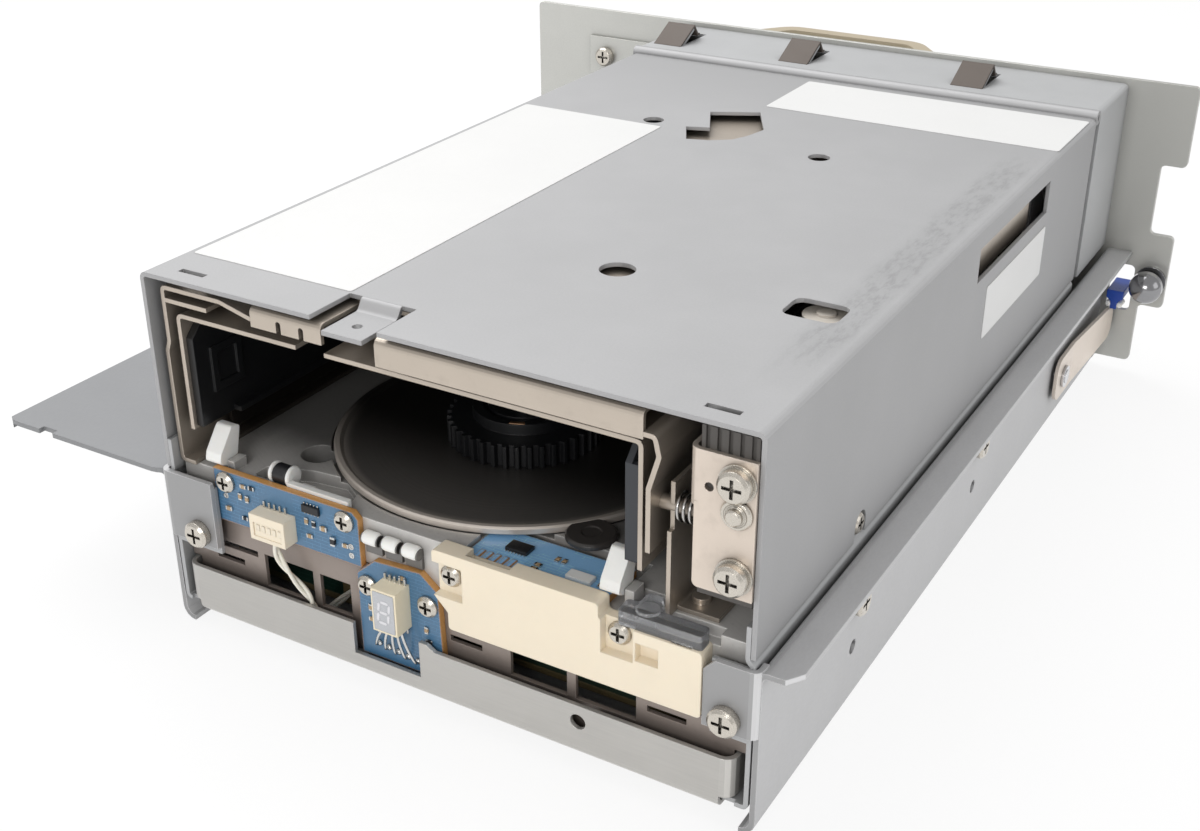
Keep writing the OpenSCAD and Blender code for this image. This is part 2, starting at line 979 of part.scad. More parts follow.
// Lip across the sled's front, its foot stepped down to the sled's floor
module front_lip() {
    color([0.75, 0.74, 0.72]) place() difference() {
        union() {
            along_x(-lip_left + lip_return_r, lip_right - lip_return_r)
                sheet([[lip_y, lip_h], [lip_y, lip_under], [lip_joggle_y, lip_under],
                    [lip_joggle_y + lip_joggle, sled_t], [lip_foot_y, sled_t]], lip_bend, lip_t);
            along_z(floor_z + slide_gap, lip_h)
                sheet([[-lip_left, lip_return], [-lip_left, lip_y], [lip_right, lip_y],
                    [lip_right, lip_return]], lip_return_r, lip_t);
            along_y(lip_y, lip_y + lip_t)
                polygon([[lip_cut_x + lip_cut_w, lip_h - over], [lip_cut_x + lip_cut_w, lip_h + lip_step_h],
                    [lip_cut_x + lip_cut_w + lip_step_w / 3, lip_h + lip_step_h],
                    [lip_cut_x + lip_cut_w + lip_step_w, lip_h - over]]);
        }
        block([lip_cut_x, lip_cut_x + lip_cut_w], [lip_y - over, lip_y + lip_t + over],
            [lip_h - lip_cut_h, lip_h + lip_step_h + over]);
        rod_y(lip_hole_r, lip_hole_x, [lip_y - over, lip_y + lip_t + over], lip_h - lip_hole_drop);
    }
}

// Back plate
latch_x = wall_out + latch_gap;
tab_x = latch_x + tab_in;
tab_window = [tab_x - tab_window_side, tab_x + tab_w + tab_window_side];
brk_screw_x = brk_x + brk_screw_in;
brk_screw_z = down(brk_top + brk_h / 2);

module fan_grille() {
    difference() {
        circle(r = fan_bore_r);
        for (i = [1 : grille_rings - 1])
            difference() {
                circle(r = i * grille_pitch + grille_ring_w);
                circle(r = i * grille_pitch);
            }
        circle(r = grille_pitch / 2);
        for (i = [0 : fan_spokes - 1])
            rotate(45 + i * 360 / fan_spokes) translate([0, -fan_spoke_w / 2]) square([fan_bore_r + over, fan_spoke_w]);
    }
}

module back_plate() {
    top = top_z + plate_rise;
    color([0.76, 0.79, 0.8]) place() difference() {
        along_y(plate_y, plate_back)
            polygon(soft([[-plate_left, plate_foot], [plate_right - foot_in, plate_foot],
                [plate_right - foot_in, down(notch_drops[3])], [plate_right - notch_in, down(notch_drops[3])],
                [plate_right - notch_in, down(notch_drops[2])], [plate_right, down(notch_drops[2])],
                [plate_right, down(notch_drops[1])], [plate_right - notch_in, down(notch_drops[1])],
                [plate_right - notch_in, down(notch_drops[0])], [plate_right, down(notch_drops[0])],
                [plate_right, top], [-plate_left, top]], plate_round));
        along_y(plate_y - over, plate_back + over) {
            translate([fan_x, down(fan_drop)]) fan_grille();
            polygon(box_points(port_x - slide_gap, down(port_drop + port_h) - slide_gap,
                port_x + port_w + slide_gap, down(port_drop) + slide_gap));
            polygon(soft(box_points(tab_window[0], down(latch_drop) - tab_window_low, tab_window[1],
                down(latch_drop) + tab_h + tab_window_up), plate_round));
        }
        rod_y(big_shank_r + run_gap, brk_screw_x, [plate_y - over, plate_back + over], brk_screw_z);
        for (i = [0, 1])
            rod_y(plate_hole_r, -plate_left + plate_hole_in + i * plate_hole_pitch,
                [plate_y - over, plate_back + over], down(plate_hole_drop));
    }
}

module plate_bracket() {
    color([0.8, 0.78, 0.74]) place() difference() {
        along_z(down(brk_top + brk_h), down(brk_top))
            sheet([[brk_x, plate_y], [-half_w, plate_y], [-half_w, plate_y - brk_reach]], brk_bend, -brk_t);
        rod_y(big_shank_r + run_gap, brk_screw_x, [plate_y - brk_t - over, plate_y + over], brk_screw_z);
    }
}

module guide_pin() {
    color([0.75, 0.76, 0.78]) place() union() {
        rod_y(pin_flange_r, pin_x, [plate_y - pin_flange_t, plate_y], down(pin_drop));
        rod_y(pin_r, pin_x, [plate_y - pin_len, plate_y], down(pin_drop));
        intersection() {
            translate([pin_x, plate_y - pin_len, down(pin_drop)]) sphere(r = ball_r + ball_land);
            rod_y(ball_r, pin_x, [plate_y - pin_len - ball_r - over, plate_y - pin_flange_t / 2], down(pin_drop));
        }
    }
}

// Rivets of the left wing, and the latch lever's shouldered pivot
module rivets() {
    color([0.7, 0.71, 0.72]) place() {
        for (y = rivet_y) {
            rod_x(rivet_r, [-wall_out - sled_t - rivet_head_t / 2, -wall_in], y, ledge_z - rivet_drop);
            rod_x(rivet_head_r, [-wall_out - sled_t - rivet_head_t, -wall_out - sled_t], y, ledge_z - rivet_drop);
        }
        rod_x(latch_pin_r, [wall_in, latch_x + latch_t + latch_gap], latch_pivot_y, down(latch_pivot_drop));
        rod_x(latch_washer_r, [wall_out, latch_x - run_gap], latch_pivot_y, down(latch_pivot_drop));
        rod_x(latch_head_r, [latch_x + latch_t + run_gap, latch_x + latch_t + latch_head_t], latch_pivot_y,
            down(latch_pivot_drop));
    }
}

module latch_lever() {
    color([0.86, 0.82, 0.78]) place() difference() {
        intersection() {
            along_z(down(latch_drop + latch_h), down(latch_drop))
                sheet([[latch_x, latch_y0], [latch_x, latch_bend_y], [latch_x + latch_flare, latch_end_y]],
                    latch_round, -latch_t);
            along_x(latch_x - over, latch_x + latch_flare + latch_t + over)
                polygon(soft([[latch_y0, down(latch_drop + latch_h)], [latch_bend_y, down(latch_drop + latch_h)],
                    [latch_end_y, down(latch_drop + latch_end_h)], [latch_end_y, down(latch_drop)],
                    [latch_y0, down(latch_drop)]], latch_round));
        }
        rod_x(latch_pin_r + run_gap, [latch_x - over, latch_x + latch_t + over], latch_pivot_y,
            down(latch_pivot_drop));
    }
}

module latch_tab() {
    color([0.1, 0.22, 0.6]) place()
        along_x(tab_x, tab_x + tab_w)
            polygon(soft(box_points(tab_y0, down(latch_drop), tab_y1, down(latch_drop) + tab_h), tab_round));
}

// Hood over the cables behind the drive, with three raised lances
hood_y = drive_d + 2 * hem_r + hood_gap;
hood_z = top_z + hood_rise;

module rear_hood() {
    color([0.72, 0.72, 0.73]) place() union() {
        difference() {
            along_y(hood_y, plate_y)
                sheet([[-half_w, down(hood_foot)], [-half_w, hood_z], [half_w, hood_z], [half_w, down(hood_foot)]],
                    hood_bend, -cover_t);
            for (x = lance_x)
                block([x - lance_w / 2, x + lance_w / 2], [lance_y, lance_y + lance_d],
                    [hood_z - cover_t - over, hood_z + over]);
        }
        for (x = lance_x)
            along_x(x - lance_w / 2, x + lance_w / 2)
                sheet([[lance_y - cover_t, hood_z], [lance_y, hood_z],
                    [lance_y + lance_run, hood_z + lance_rise]], cover_bend, -cover_t);
    }
}

module rear_handle() {
    path = [[-handle_left, plate_back - over], [-handle_left, plate_back + handle_foot],
        [-handle_left + handle_slope, plate_back + handle_d], [handle_right - handle_slope, plate_back + handle_d],
        [handle_right, plate_back + handle_foot], [handle_right, plate_back - over]];
    color([0.86, 0.8, 0.68]) place() intersection() {
        along_z(down(handle_drop + handle_h), down(handle_drop)) sheet(path, handle_round, -handle_t);
        block([-handle_left - over, handle_right + over], [plate_back, plate_back + handle_d + over],
            [down(handle_drop + handle_h), down(handle_drop)]);
    }
}

module port_block() {
    z0 = down(port_drop + port_h);
    z1 = down(port_drop);
    bays_w = (port_bays - 1) * port_bay_pitch + port_bay_w;
    color([0.12, 0.12, 0.13]) place() difference() {
        union() {
            block([port_x, port_x + port_w], [plate_y - port_front, plate_back + port_back], [z0, z1]);
            block([port_x - port_flange, port_x + port_w + port_flange], [plate_y - port_flange_t, plate_y],
                [z0 - port_flange, z1 + port_flange]);
        }
        for (i = [0 : port_bays - 1])
            block([port_x + (port_w - bays_w) / 2 + i * port_bay_pitch,
                port_x + (port_w - bays_w) / 2 + i * port_bay_pitch + port_bay_w],
                [plate_back + port_back - port_bay_d, plate_back + port_back + over],
                [(z0 + z1 - port_bay_h) / 2, (z0 + z1 + port_bay_h) / 2]);
    }
}

// Fan behind the grille in the back plate
module at_fan() {
    translate([fan_x, plate_y - fan_d, down(fan_drop)]) rotate([-90, 0, 0]) children();
}

module fan_housing() {
    color([0.14, 0.14, 0.15]) place() at_fan() union() {
        difference() {
            translate([-fan_size / 2, -fan_size / 2, 0]) cube([fan_size, fan_size, fan_d]);
            translate([0, 0, -over]) cylinder(h = fan_d + 2 * over, r = fan_bore_r);
        }
        cylinder(h = fan_floor_t, r = fan_hub_r);
        for (i = [0 : fan_spokes - 1])
            rotate([0, 0, i * 360 / fan_spokes]) translate([0, -fan_spoke_w / 2, 0])
                cube([fan_bore_r + fan_spoke_w / 2, fan_spoke_w, fan_floor_t]);
        cylinder(h = fan_d - fan_hub_wall, r = fan_pin_r);
    }
}

module fan_rotor() {
    z0 = fan_floor_t + slide_gap;
    z1 = fan_d - slide_gap;
    color([0.2, 0.2, 0.22]) place() at_fan() difference() {
        union() {
            translate([0, 0, z0]) cylinder(h = z1 - z0, r = fan_hub_r);
            for (i = [0 : fan_blades - 1])
                rotate([0, 0, i * 360 / fan_blades]) intersection() {
                    translate([fan_hub_r / 2, 0, (z0 + z1) / 2]) rotate([fan_blade_lean, 0, 0])
                        translate([0, -fan_blade_t / 2, -fan_d]) cube([fan_blade_r - fan_hub_r / 2, fan_blade_t, 2 * fan_d]);
                    translate([0, 0, z0 + fan_blade_t / 2]) cylinder(h = z1 - z0 - fan_blade_t, r = fan_blade_r);
                }
        }
        translate([0, 0, z0 - over]) cylinder(h = fan_d - fan_hub_wall + slide_gap - z0 + over, r = fan_pin_r + run_gap);
    }
}

// Drive: the lower shell runs up inside the top cover
neck_x = half_w - cover_t - neck_gap;
seam_z = down(skirt_h) - seam_gap;
neck_z = down(skirt_h) + neck_h;
floor_z = drive_z + cover_t;

module base_frame() {
    color([0.7, 0.71, 0.72]) place() difference() {
        union() {
            along_y(0, drive_d)
                sheet([[neck_x, neck_z], [neck_x, seam_z], [half_w, seam_z - joggle_h], [half_w, drive_z],
                    [-half_w, drive_z], [-half_w, seam_z - joggle_h], [-neck_x, seam_z], [-neck_x, neck_z]],
                    base_bend, -cover_t);
            block([cover_t / 2 - half_w, left_flange_w - half_w], [0, cover_t],
                [down(flange_drop + flange_h), down(flange_drop)]);
            block([half_w - right_flange_w, half_w - cover_t / 2], [0, cover_t],
                [down(flange_drop + flange_h), down(flange_drop)]);
            difference() {
                along_y(rear_wall_y - cover_t, rear_wall_y)
                    polygon(box_points(-neck_x, drive_z, neck_x, down(rear_top_drop)));
                along_y(rear_wall_y - cover_t - over, rear_wall_y + over)
                    polygon(soft(box_points(rear_window_side - neck_x, floor_z + rear_window_low,
                        neck_x - rear_window_side, down(rear_window_top)), rear_window_low / 4));
            }
        }
        block([-lip_left - slide_gap, lip_right + slide_gap], [-over, lip_y + lip_t + slide_gap],
            [drive_z - over, floor_z + over]);
        side_holes(-half_w - over, half_w + over);
        rod_x(small_shank_r + run_gap, [neck_x - 2 * cover_t, neck_x + over], cover_screw_y,
            down(cover_screw_drop));
        rod_y(big_shank_r + run_gap, half_w - ear_screw_in, [-over, cover_t + over], down(ear_screw_drop));
        rod_y(big_shank_r + run_gap, left_ear_screw_in - half_w, [-over, cover_t + over], down(ear_screw_drop));
        for (x = [-boss_x, boss_x], y = boss_y) rod_z(boss_hole_r, x, y, [drive_z - over, floor_z + over]);
    }
}

module cover_cuts() {
    for (side = [-1, 1])
        block([side * (half_w - slot_in) - slot_w / 2, side * (half_w - slot_in) + slot_w / 2],
            [slot_y, slot_y + slot_d], [top_z - cover_t - over, top_z + over]);
    block([notch_x, notch_x + notch_w], [-over, notch_d], [top_z - cover_t - over, top_z + over]);
    for (h = cover_holes) rod_z(h[2], h[0], h[1], [top_z - cover_t - over, top_z + over]);
    along_z(top_z - cover_t - over, top_z + over) {
        polygon(soft(box_points(gear_window_x, gear_window_y, gear_window_x + gear_window_w,
            gear_window_y + gear_window_d), gear_window_r));
        polygon(placed(step_shares, step_x, step_y, step_w, step_d));
    }
    block([half_w - cover_t - over, half_w + over], [side_window_y, side_window_y + side_window_d],
        [down(side_window_drop + side_window_h), down(side_window_drop)]);
    hull() {
        rod_x(cover_notch_r, [half_w - cover_t - over, half_w + over], cover_screw_y, down(cover_screw_drop));
        rod_x(cover_notch_r, [half_w - cover_t - over, half_w + over], cover_screw_y,
            down(skirt_h) - cover_notch_r);
    }
}

module top_cover() {
    flap_z = top_z - flap_drop;
    color([0.72, 0.73, 0.74]) place() difference() {
        union() {
            difference() {
                along_y(0, drive_d + hem_root)
                    sheet([[-half_w, down(skirt_h)], [-half_w, top_z], [half_w, top_z], [half_w, down(skirt_h)]],
                        cover_bend, -cover_t);
                cover_cuts();
                for (side = [-1, 1])
                    block([side * half_w - 2 * cover_t, side * half_w + 2 * cover_t], [drive_d, drive_d + over],
                        [down(skirt_h) - over, top_z - hem_r]);
            }
            along_x(flap_x, flap_x + flap_w)
                sheet([[notch_d + cover_t, top_z], [notch_d - cover_t / 2, top_z],
                    [notch_d - cover_t / 2 - flap_run, flap_z], [-flap_over, flap_z]], flap_bend, cover_t);
            rod_x(hem_r, [-half_w, half_w], drive_d + hem_r, top_z);
        }
        rod_z(flap_hole_r, flap_x + flap_w / 2, flap_hole_y, [flap_z - cover_t - over, flap_z + over]);
        rod_x(hem_bore_r, [-half_w - over, half_w + over], drive_d + hem_r, top_z);
    }
}

// Front plate with its vents: open ones and ones covered down to two slots
plate_x = half_w - cover_t - front_gap;

module front_plate() {
    color([0.85, 0.8, 0.74]) place() difference() {
        along_x(-plate_x, plate_x)
            sheet([[front_y, down(front_top)], [front_y, floor_z], [front_y + front_foot, floor_z]],
                base_bend, front_t);
        along_y(front_y - over, front_y + front_t + over)
            for (i = [0 : len(vent_x) - 1]) {
                covered = len(search(i, slotted_vents)) > 0;
                top = down(vent_drop);
                if (covered) {
                    polygon(box_points(vent_x[i], top - vent_slot_h, vent_x[i] + vent_w[i], top));
                    polygon(box_points(vent_x[i], top - vent_slot_h - vent_slot_pitch,
                        vent_x[i] + vent_w[i] * vent_slot_share, top - vent_slot_pitch));
                } else {
                    polygon(box_points(vent_x[i], top - vent_h, vent_x[i] + vent_w[i], top));
                }
            }
        rod_y(cable_r + cable_hole_gap, cable_end[0], [front_y - over, front_y + front_t + over], cable_end[2]);
        for (x = [[-plate_x - over, lip_corner - lip_left], [lip_right - lip_corner, plate_x + over]])
            block(x, [front_y - over, lip_return + slide_gap], [floor_z - over, lip_h + slide_gap]);
        for (x = [db_x + db_screw_left, db_x + display_w - db_screw_right])
            rod_y(small_shank_r + run_gap, x, [front_y - over, front_y + front_t + over], down(db_screw_drop));
    }
}

// Deck casting that carries the reels, the loader and the boards at the front
deck_z = down(deck_drop);
recess_z = down(recess_drop);
chuck_x = bay_x;
lever_z = deck_z + lever_up;
// The cable's route in the part, its depths turned to heights
cable_points = [for (p = cable_route) [p[0], p[1], top_z + p[2]]];
cable_end = cable_points[len(cable_points) - 1];

// Lug beside a lever, with the pin that the lever turns on
module lever_lug(lug_x, pin_x0, pin_x1) {
    block([lug_x, lug_x + lug_w], [lever_y - lug_d / 2, lever_y + lug_d / 2], [recess_z, deck_z + lug_h]);
    rod_x(lever_pin_r, [pin_x0, pin_x1], lever_y, lever_z);
}

module deck_casting() {
    left_lug = lever_left_x + lever_w + lug_gap;
    right_lug = lever_right_x + lever_w + lug_gap;
    color([0.55, 0.55, 0.55]) place() difference() {
        union() {
            difference() {
                union() {
                    block([-deck_x, deck_x], [front_y, deck_back], [deck_z - deck_t, deck_z]);
                    block([-rim_x, rim_x], [front_y, front_y + rim_t], [down(rim_drop), deck_z]);
                    for (side = [-1, 1], y = leg_y)
                        block([side * (deck_x - deck_leg / 2) - deck_leg / 2, side * (deck_x - deck_leg / 2) + deck_leg / 2],
                            [y, y + deck_leg], [floor_z, deck_z]);
                }
                block([recess_x, recess_x + recess_w], [front_y - over, recess_y], [recess_z, deck_z + over]);
                block([recess_x + recess_w - over, recess_x + recess_w + guide_side_w],
                    [front_y - over, front_y + guide_side_d], [recess_z, deck_z + over]);
                block([recess_x + recess_w - over, recess_x + recess_w + guide_recess_w],
                    [front_y - over, front_y + guide_recess_d], [recess_z, deck_z + over]);
                rod_z(disc_r + disc_recess_gap, chuck_x, chuck_y, [deck_z - disc_recess, deck_z + over]);
                along_z(deck_z - pocket_deep, deck_z + over)
                    polygon(soft(placed(pocket_shares, pocket_x, pocket_y, pocket_w, pocket_d), pocket_round));
            }
            lever_lug(left_lug, lever_left_x, left_lug + lug_w);
            lever_lug(right_lug, lever_right_x, right_lug + lug_w);
        }
        rod_z(deck_hole_r, deck_hole_x, deck_hole_y, [deck_z - deck_t - over, deck_z + over]);
        rod_z(spindle_r + run_gap, chuck_x, chuck_y, [deck_z - deck_t - over, deck_z + over]);
        rod_z(spindle_r + run_gap, takeup_x, takeup_y, [deck_z - deck_t - over, deck_z + over]);
        for (x = [sb_x + sb_screw_in, sb_x + sensor_w - sb_screw_in])
            rod_y(small_shank_r + run_gap, x, [front_y - over, front_y + small_shank_l], down(sb_screw_drop));
        for (x = [fb_x + fb_screw_in, fb_screw_right])
            rod_y(small_shank_r + run_gap, x, [front_y - over, front_y + small_shank_l], down(fb_screw_drop));
    }
}

// Reels. The chuck's disc, toothed ring and rotor turn together
disc_z = down(disc_top);

module reel_disc() {
    color([0.32, 0.33, 0.34]) place() translate([chuck_x, chuck_y, disc_z])
        rotate_extrude($fn = 96)
            polygon([[spindle_r + seat_gap, -disc_t], [disc_r, -disc_t], [disc_r, rim_h / 2],
                [disc_r - rim_h / 2, rim_h], [disc_r - rim_w, rim_h], [disc_r - rim_w - rim_h, 0],
                [spindle_r + seat_gap, 0]]);
}

// Points of a wheel's outline, from the half width and reach of its teeth
function wheel(count, inner_r, outer_r, root_half, tip_half) = [
    for (i = [0 : count - 1], corner = [[inner_r, -root_half], [outer_r, -tip_half], [outer_r, tip_half],
        [inner_r, root_half]])
        polar(corner[0], (i + corner[1]) * 360 / count)];

module chuck_ring() {
    color([0.1, 0.1, 0.11]) place() translate([chuck_x, chuck_y, disc_z]) difference() {
        union() {
            linear_extrude(chuck_h)
                polygon(wheel(chuck_teeth, chuck_r - chuck_tooth_out, chuck_r, chuck_root_share, chuck_tip_share));
            cylinder(h = chuck_h + boss_ring_h, r = boss_ring_r);
        }
        translate([0, 0, chuck_h + boss_ring_h - groove_d]) difference() {
            cylinder(h = groove_d + over, r = groove_r);
            translate([0, 0, -over]) cylinder(h = groove_d + 3 * over, r = groove_r - groove_w);
        }
        translate([0, 0, -over]) cylinder(h = chuck_h + boss_ring_h + 2 * over, r = spindle_r + seat_gap);
    }
}

rotor_z = deck_z - deck_t - rotor_gap - rotor_h;

module reel_rotor() {
    color([0.45, 0.45, 0.47]) place() translate([chuck_x, chuck_y, 0]) union() {
        translate([0, 0, rotor_z]) cylinder(h = disc_z + chuck_h + boss_ring_h - rotor_z, r = spindle_r);
        translate([0, 0, disc_z + chuck_h + boss_ring_h]) cylinder(h = tip_h, r = tip_r);
        translate([0, 0, rotor_z]) difference() {
            cylinder(h = rotor_h, r = rotor_r);
            translate([0, 0, rotor_wall]) difference() {
                cylinder(h = rotor_h, r = rotor_r - rotor_wall);
                cylinder(h = rotor_h, r = spindle_r);
            }
        }
    }
}

module reel_motors() {
    color([0.6, 0.42, 0.25]) place()
        for (p = [[chuck_x, chuck_y], [takeup_x, takeup_y]])
            translate([p[0], p[1], deck_z - deck_t - stator_h]) difference() {
                cylinder(h = stator_h, r = stator_r);
                translate([0, 0, -over]) cylinder(h = stator_h + 2 * over, r = stator_bore_r);
            }
}

// Take-up reel with the slot that the threader's post enters by
arm_reach = norm([takeup_x - arm_x, takeup_y - arm_y]);
arm_end = atan2(takeup_y - arm_y, takeup_x - arm_x);
reel_top = down(takeup_base) + 2 * flange_t + tape_w + tape_room;

module post_path(half) {
    intersection() {
        difference() {
            circle(r = arm_reach + half);
            circle(r = arm_reach - half);
        }
        polygon([[0, 0], polar(3 * takeup_r, arm_end), polar(3 * takeup_r, arm_end - slot_sweep / 2),
            polar(3 * takeup_r, arm_end - slot_sweep)]);
    }
}

module takeup_reel() {
    base = down(takeup_base);
    post_gap = grab_r + arm_slot_gap;
    color([0.2, 0.2, 0.21]) place() union() {
        difference() {
            translate([takeup_x, takeup_y, base]) union() {
                cylinder(h = flange_t, r = takeup_r);
                cylinder(h = reel_top - base, r = hub_r);
                translate([0, 0, reel_top - base - flange_t]) cylinder(h = flange_t, r = takeup_r);
            }
            translate([arm_x, arm_y, reel_top - flange_t - groove_depth])
                linear_extrude(groove_depth + flange_t + over) post_path(post_gap);
            rod_z(post_gap, takeup_x, takeup_y, [reel_top - flange_t - groove_depth, reel_top + over]);
        }
        rod_z(spindle_r, takeup_x, takeup_y, [rotor_z, base]);
        translate([takeup_x, takeup_y, rotor_z]) difference() {
            cylinder(h = rotor_h, r = rotor_r);
            translate([0, 0, rotor_wall]) difference() {
                cylinder(h = rotor_h, r = rotor_r - rotor_wall);
                cylinder(h = rotor_h, r = spindle_r);
            }
        }
    }
}

// Tape guides: rollers on shouldered posts, and the posts of the gear and the threader
tape_low = down(takeup_base) + flange_t;
roller_z0 = tape_low - roller_flange_t;
roller_z1 = tape_low + tape_w + tape_room + roller_flange_t;
function roller_at(i) = [arm_x, arm_y] + polar(roller_out, roller_angles[i]);

module guide_posts() {
    color([0.62, 0.63, 0.65]) place() {
        for (i = [0 : 3]) {
            p = roller_at(i);
            rod_z(post_shoulder_r, p[0], p[1], [deck_z, roller_z0 - seat_gap]);
            rod_z(post_r, p[0], p[1], [deck_z, roller_z1 + post_cap_t]);
            rod_z(post_cap_r, p[0], p[1], [roller_z1 + run_gap, roller_z1 + post_cap_t]);
        }
        for (p = threader_posts) rod_z(threader_post_r, p[0], p[1], [deck_z, down(threader_drop + threader_t)]);
        rod_z(gear_pin_r, gear_x, gear_y, [deck_z, down(gear_pin_top)]);
        rod_z(gear_hub_r, gear_x, gear_y, [deck_z, down(gear_drop + gear_h) - slide_gap]);
    }
}

module roller(i) {
    p = roller_at(i);
    color([0.85, 0.85, 0.83]) place() difference() {
        union() {
            rod_z(roller_r, p[0], p[1], [roller_z0, roller_z1]);
            rod_z(roller_r + roller_flange_w, p[0], p[1], [roller_z0, roller_z0 + roller_flange_t]);
            rod_z(roller_r + roller_flange_w, p[0], p[1], [roller_z1 - roller_flange_t, roller_z1]);
        }
        rod_z(post_r + run_gap, p[0], p[1], [roller_z0 - over, roller_z1 + over]);
    }
}

// Read and write head on its two shafts
head_z0 = down(head_drop + head_h);

module head_base() {
    color([0.4, 0.41, 0.43]) place() union() {
        block([head_base_x, head_base_x + head_base_w], [arm_y - head_w, arm_y + head_w],
            [deck_z, head_z0 - head_lift - head_gap]);
        for (x = shaft_x) rod_z(shaft_r, x, arm_y, [deck_z, down(head_drop) + head_lift + head_gap]);
    }
}

module head_block() {
    color([0.3, 0.31, 0.33]) place() difference() {
        union() {
            block([head_x, head_x + head_len], [arm_y - head_w / 2, arm_y + head_w / 2],
                [head_z0, head_z0 + head_h]);
            along_z(head_z0, head_z0 + head_h)
                polygon(bent([[head_x + head_len - over, arm_y - head_w / 2],
                    [head_x + head_len + head_nose, arm_y - head_w / 4],
                    [head_x + head_len + head_nose, arm_y + head_w / 4],
                    [head_x + head_len - over, arm_y + head_w / 2]], head_nose_r));
        }
        for (x = shaft_x) rod_z(shaft_r + run_gap, x, arm_y, [head_z0 - over, head_z0 + head_h + over]);
    }
}

// Threader: a plate on three posts, and the arm that hangs from it
module threader_plate() {
    plate_z = down(threader_drop + threader_t);
    color([0.84, 0.79, 0.72]) place() union() {
        along_z(plate_z, down(threader_drop))
            polygon(soft(box_points(threader_x0, threader_y0, threader_x1 - threader_bend, threader_y1),
                threader_round));
        along_y(threader_flange_y[0], threader_flange_y[1])
            sheet([[threader_x1 - threader_flange_h, down(threader_drop)], [threader_x1, down(threader_drop)],
                [threader_x1, down(threader_drop + threader_flange_h)]], threader_bend, -threader_t);
        rod_z(arm_pin_r, arm_x, arm_y, [down(arm_drop + arm_t) - arm_cap_t - arm_gap, plate_z]);
        rod_z(arm_hub_r, arm_x, arm_y, [down(arm_drop) + run_gap, plate_z]);
        rod_z(arm_cap_r, arm_x, arm_y, [down(arm_drop + arm_t) - arm_cap_t - arm_gap, down(arm_drop + arm_t) - arm_gap]);
    }
}

module threader_arm() {
    tip = [arm_x, arm_y] + polar(arm_reach, arm_rest);
    color([0.8, 0.81, 0.82]) place() difference() {
        union() {
            translate([arm_x, arm_y, down(arm_drop + arm_t)]) rotate([0, 0, arm_rest])
                linear_extrude(arm_t)
                    polygon(soft(box_points(-arm_hub_r, -arm_w / 2, arm_reach + arm_w / 2, arm_w / 2),
                        arm_w / 2 - arm_gap));
            rod_z(arm_hub_r, arm_x, arm_y, [down(arm_drop + arm_t), down(arm_drop)]);
            rod_z(grab_r, tip[0], tip[1], [down(grab_low), down(arm_drop)]);
        }
        rod_z(arm_pin_r + run_gap, arm_x, arm_y, [down(arm_drop + arm_t) - over, down(arm_drop) + over]);
    }
}

// Loader's fixed sheet metal
loader_z = down(loader_drop);
left_top_z = loader_z - loader_t;

module front_flange(x, w, low) {
    along_x(x, x + w)
        sheet([[loader_y + top_notch_y + over, loader_z], [loader_y, loader_z], [loader_y, down(low)]],
            loader_bend, loader_t);
}

module loader_top() {
    color([0.84, 0.79, 0.73]) place() union() {
        difference() {
            union() {
                front_flange(flange_a_x, flange_a_w, flange_a_low);
                front_flange(flange_b_x, flange_b_w, flange_b_low);
                block([flange_a_x, flange_b_x + flange_b_w], [loader_y + top_notch_y, loader_back],
                    [left_top_z, loader_z]);
                block([top_left, flange_a_x + over], [top_left_y, loader_back], [left_top_z, loader_z]);
            }
            for (s = hook_shares)
                along_y(loader_y - over, loader_y + loader_t + over)
                    translate([flange_a_x + s * flange_a_w, down(flange_a_low)]) {
                        translate([-hook_w / 2, -over]) square([hook_w, hook_h + over]);
                        translate([0, hook_h]) circle(r = hook_w / 2);
                    }
        }
        rod_z(stud_r, stud_x, stud_y, [loader_z, loader_z + stud_h]);
    }
}

module loader_left_wall() {
    color([0.84, 0.79, 0.73]) place() union() {
        along_y(left_wall_y, left_wall_y + left_wall_d)
            sheet([[left_low_x + left_foot_w, deck_z], [left_low_x, deck_z],
                [left_low_x, down(left_step_drop)], [left_up_x, down(left_step_drop) + left_step_h],
                [left_up_x, left_top_z], [left_slope_x, left_top_z], [left_end_x, down(left_end_drop)]],
                loader_bend, -loader_t);
        along_y(left_wall_y, left_wall_y + hem_strip_d)
            sheet([[left_up_x + loader_t / 2, down(hem_strip_drop)], [hem_strip_x, down(hem_strip_drop)]],
                loader_bend, -loader_t);
    }
}

module loader_right_wall() {
    start_x = flange_b_x + flange_b_w;
    color([0.84, 0.79, 0.73]) place()
        along_y(loader_y, loader_y + right_wall_d)
            sheet([[start_x, down(right_step_drop)], [right_step_x, down(right_step_drop)],
                [right_knee_x, down(right_knee_drop)], [right_low_x + loader_t / 2, down(right_low_drop)],
                [right_low_x + loader_t / 2, down(right_foot_drop)]], loader_bend, -loader_t);
}

// Loader slide, with upright slots for the cage's lift pins and a rack on its right side
cage_x = [cage_left, cage_left + cage_w];
slide_x = [cage_x[0] - slide_gap - slide_t, cage_x[1] + slide_gap + slide_t];
rack_pitch_x = gear_x - gear_teeth * module_size / 2;
tooth_pitch = PI * module_size;
first_tooth_y = gear_y + (1 / 2 - floor((gear_y - rack_y0) / tooth_pitch)) * tooth_pitch;

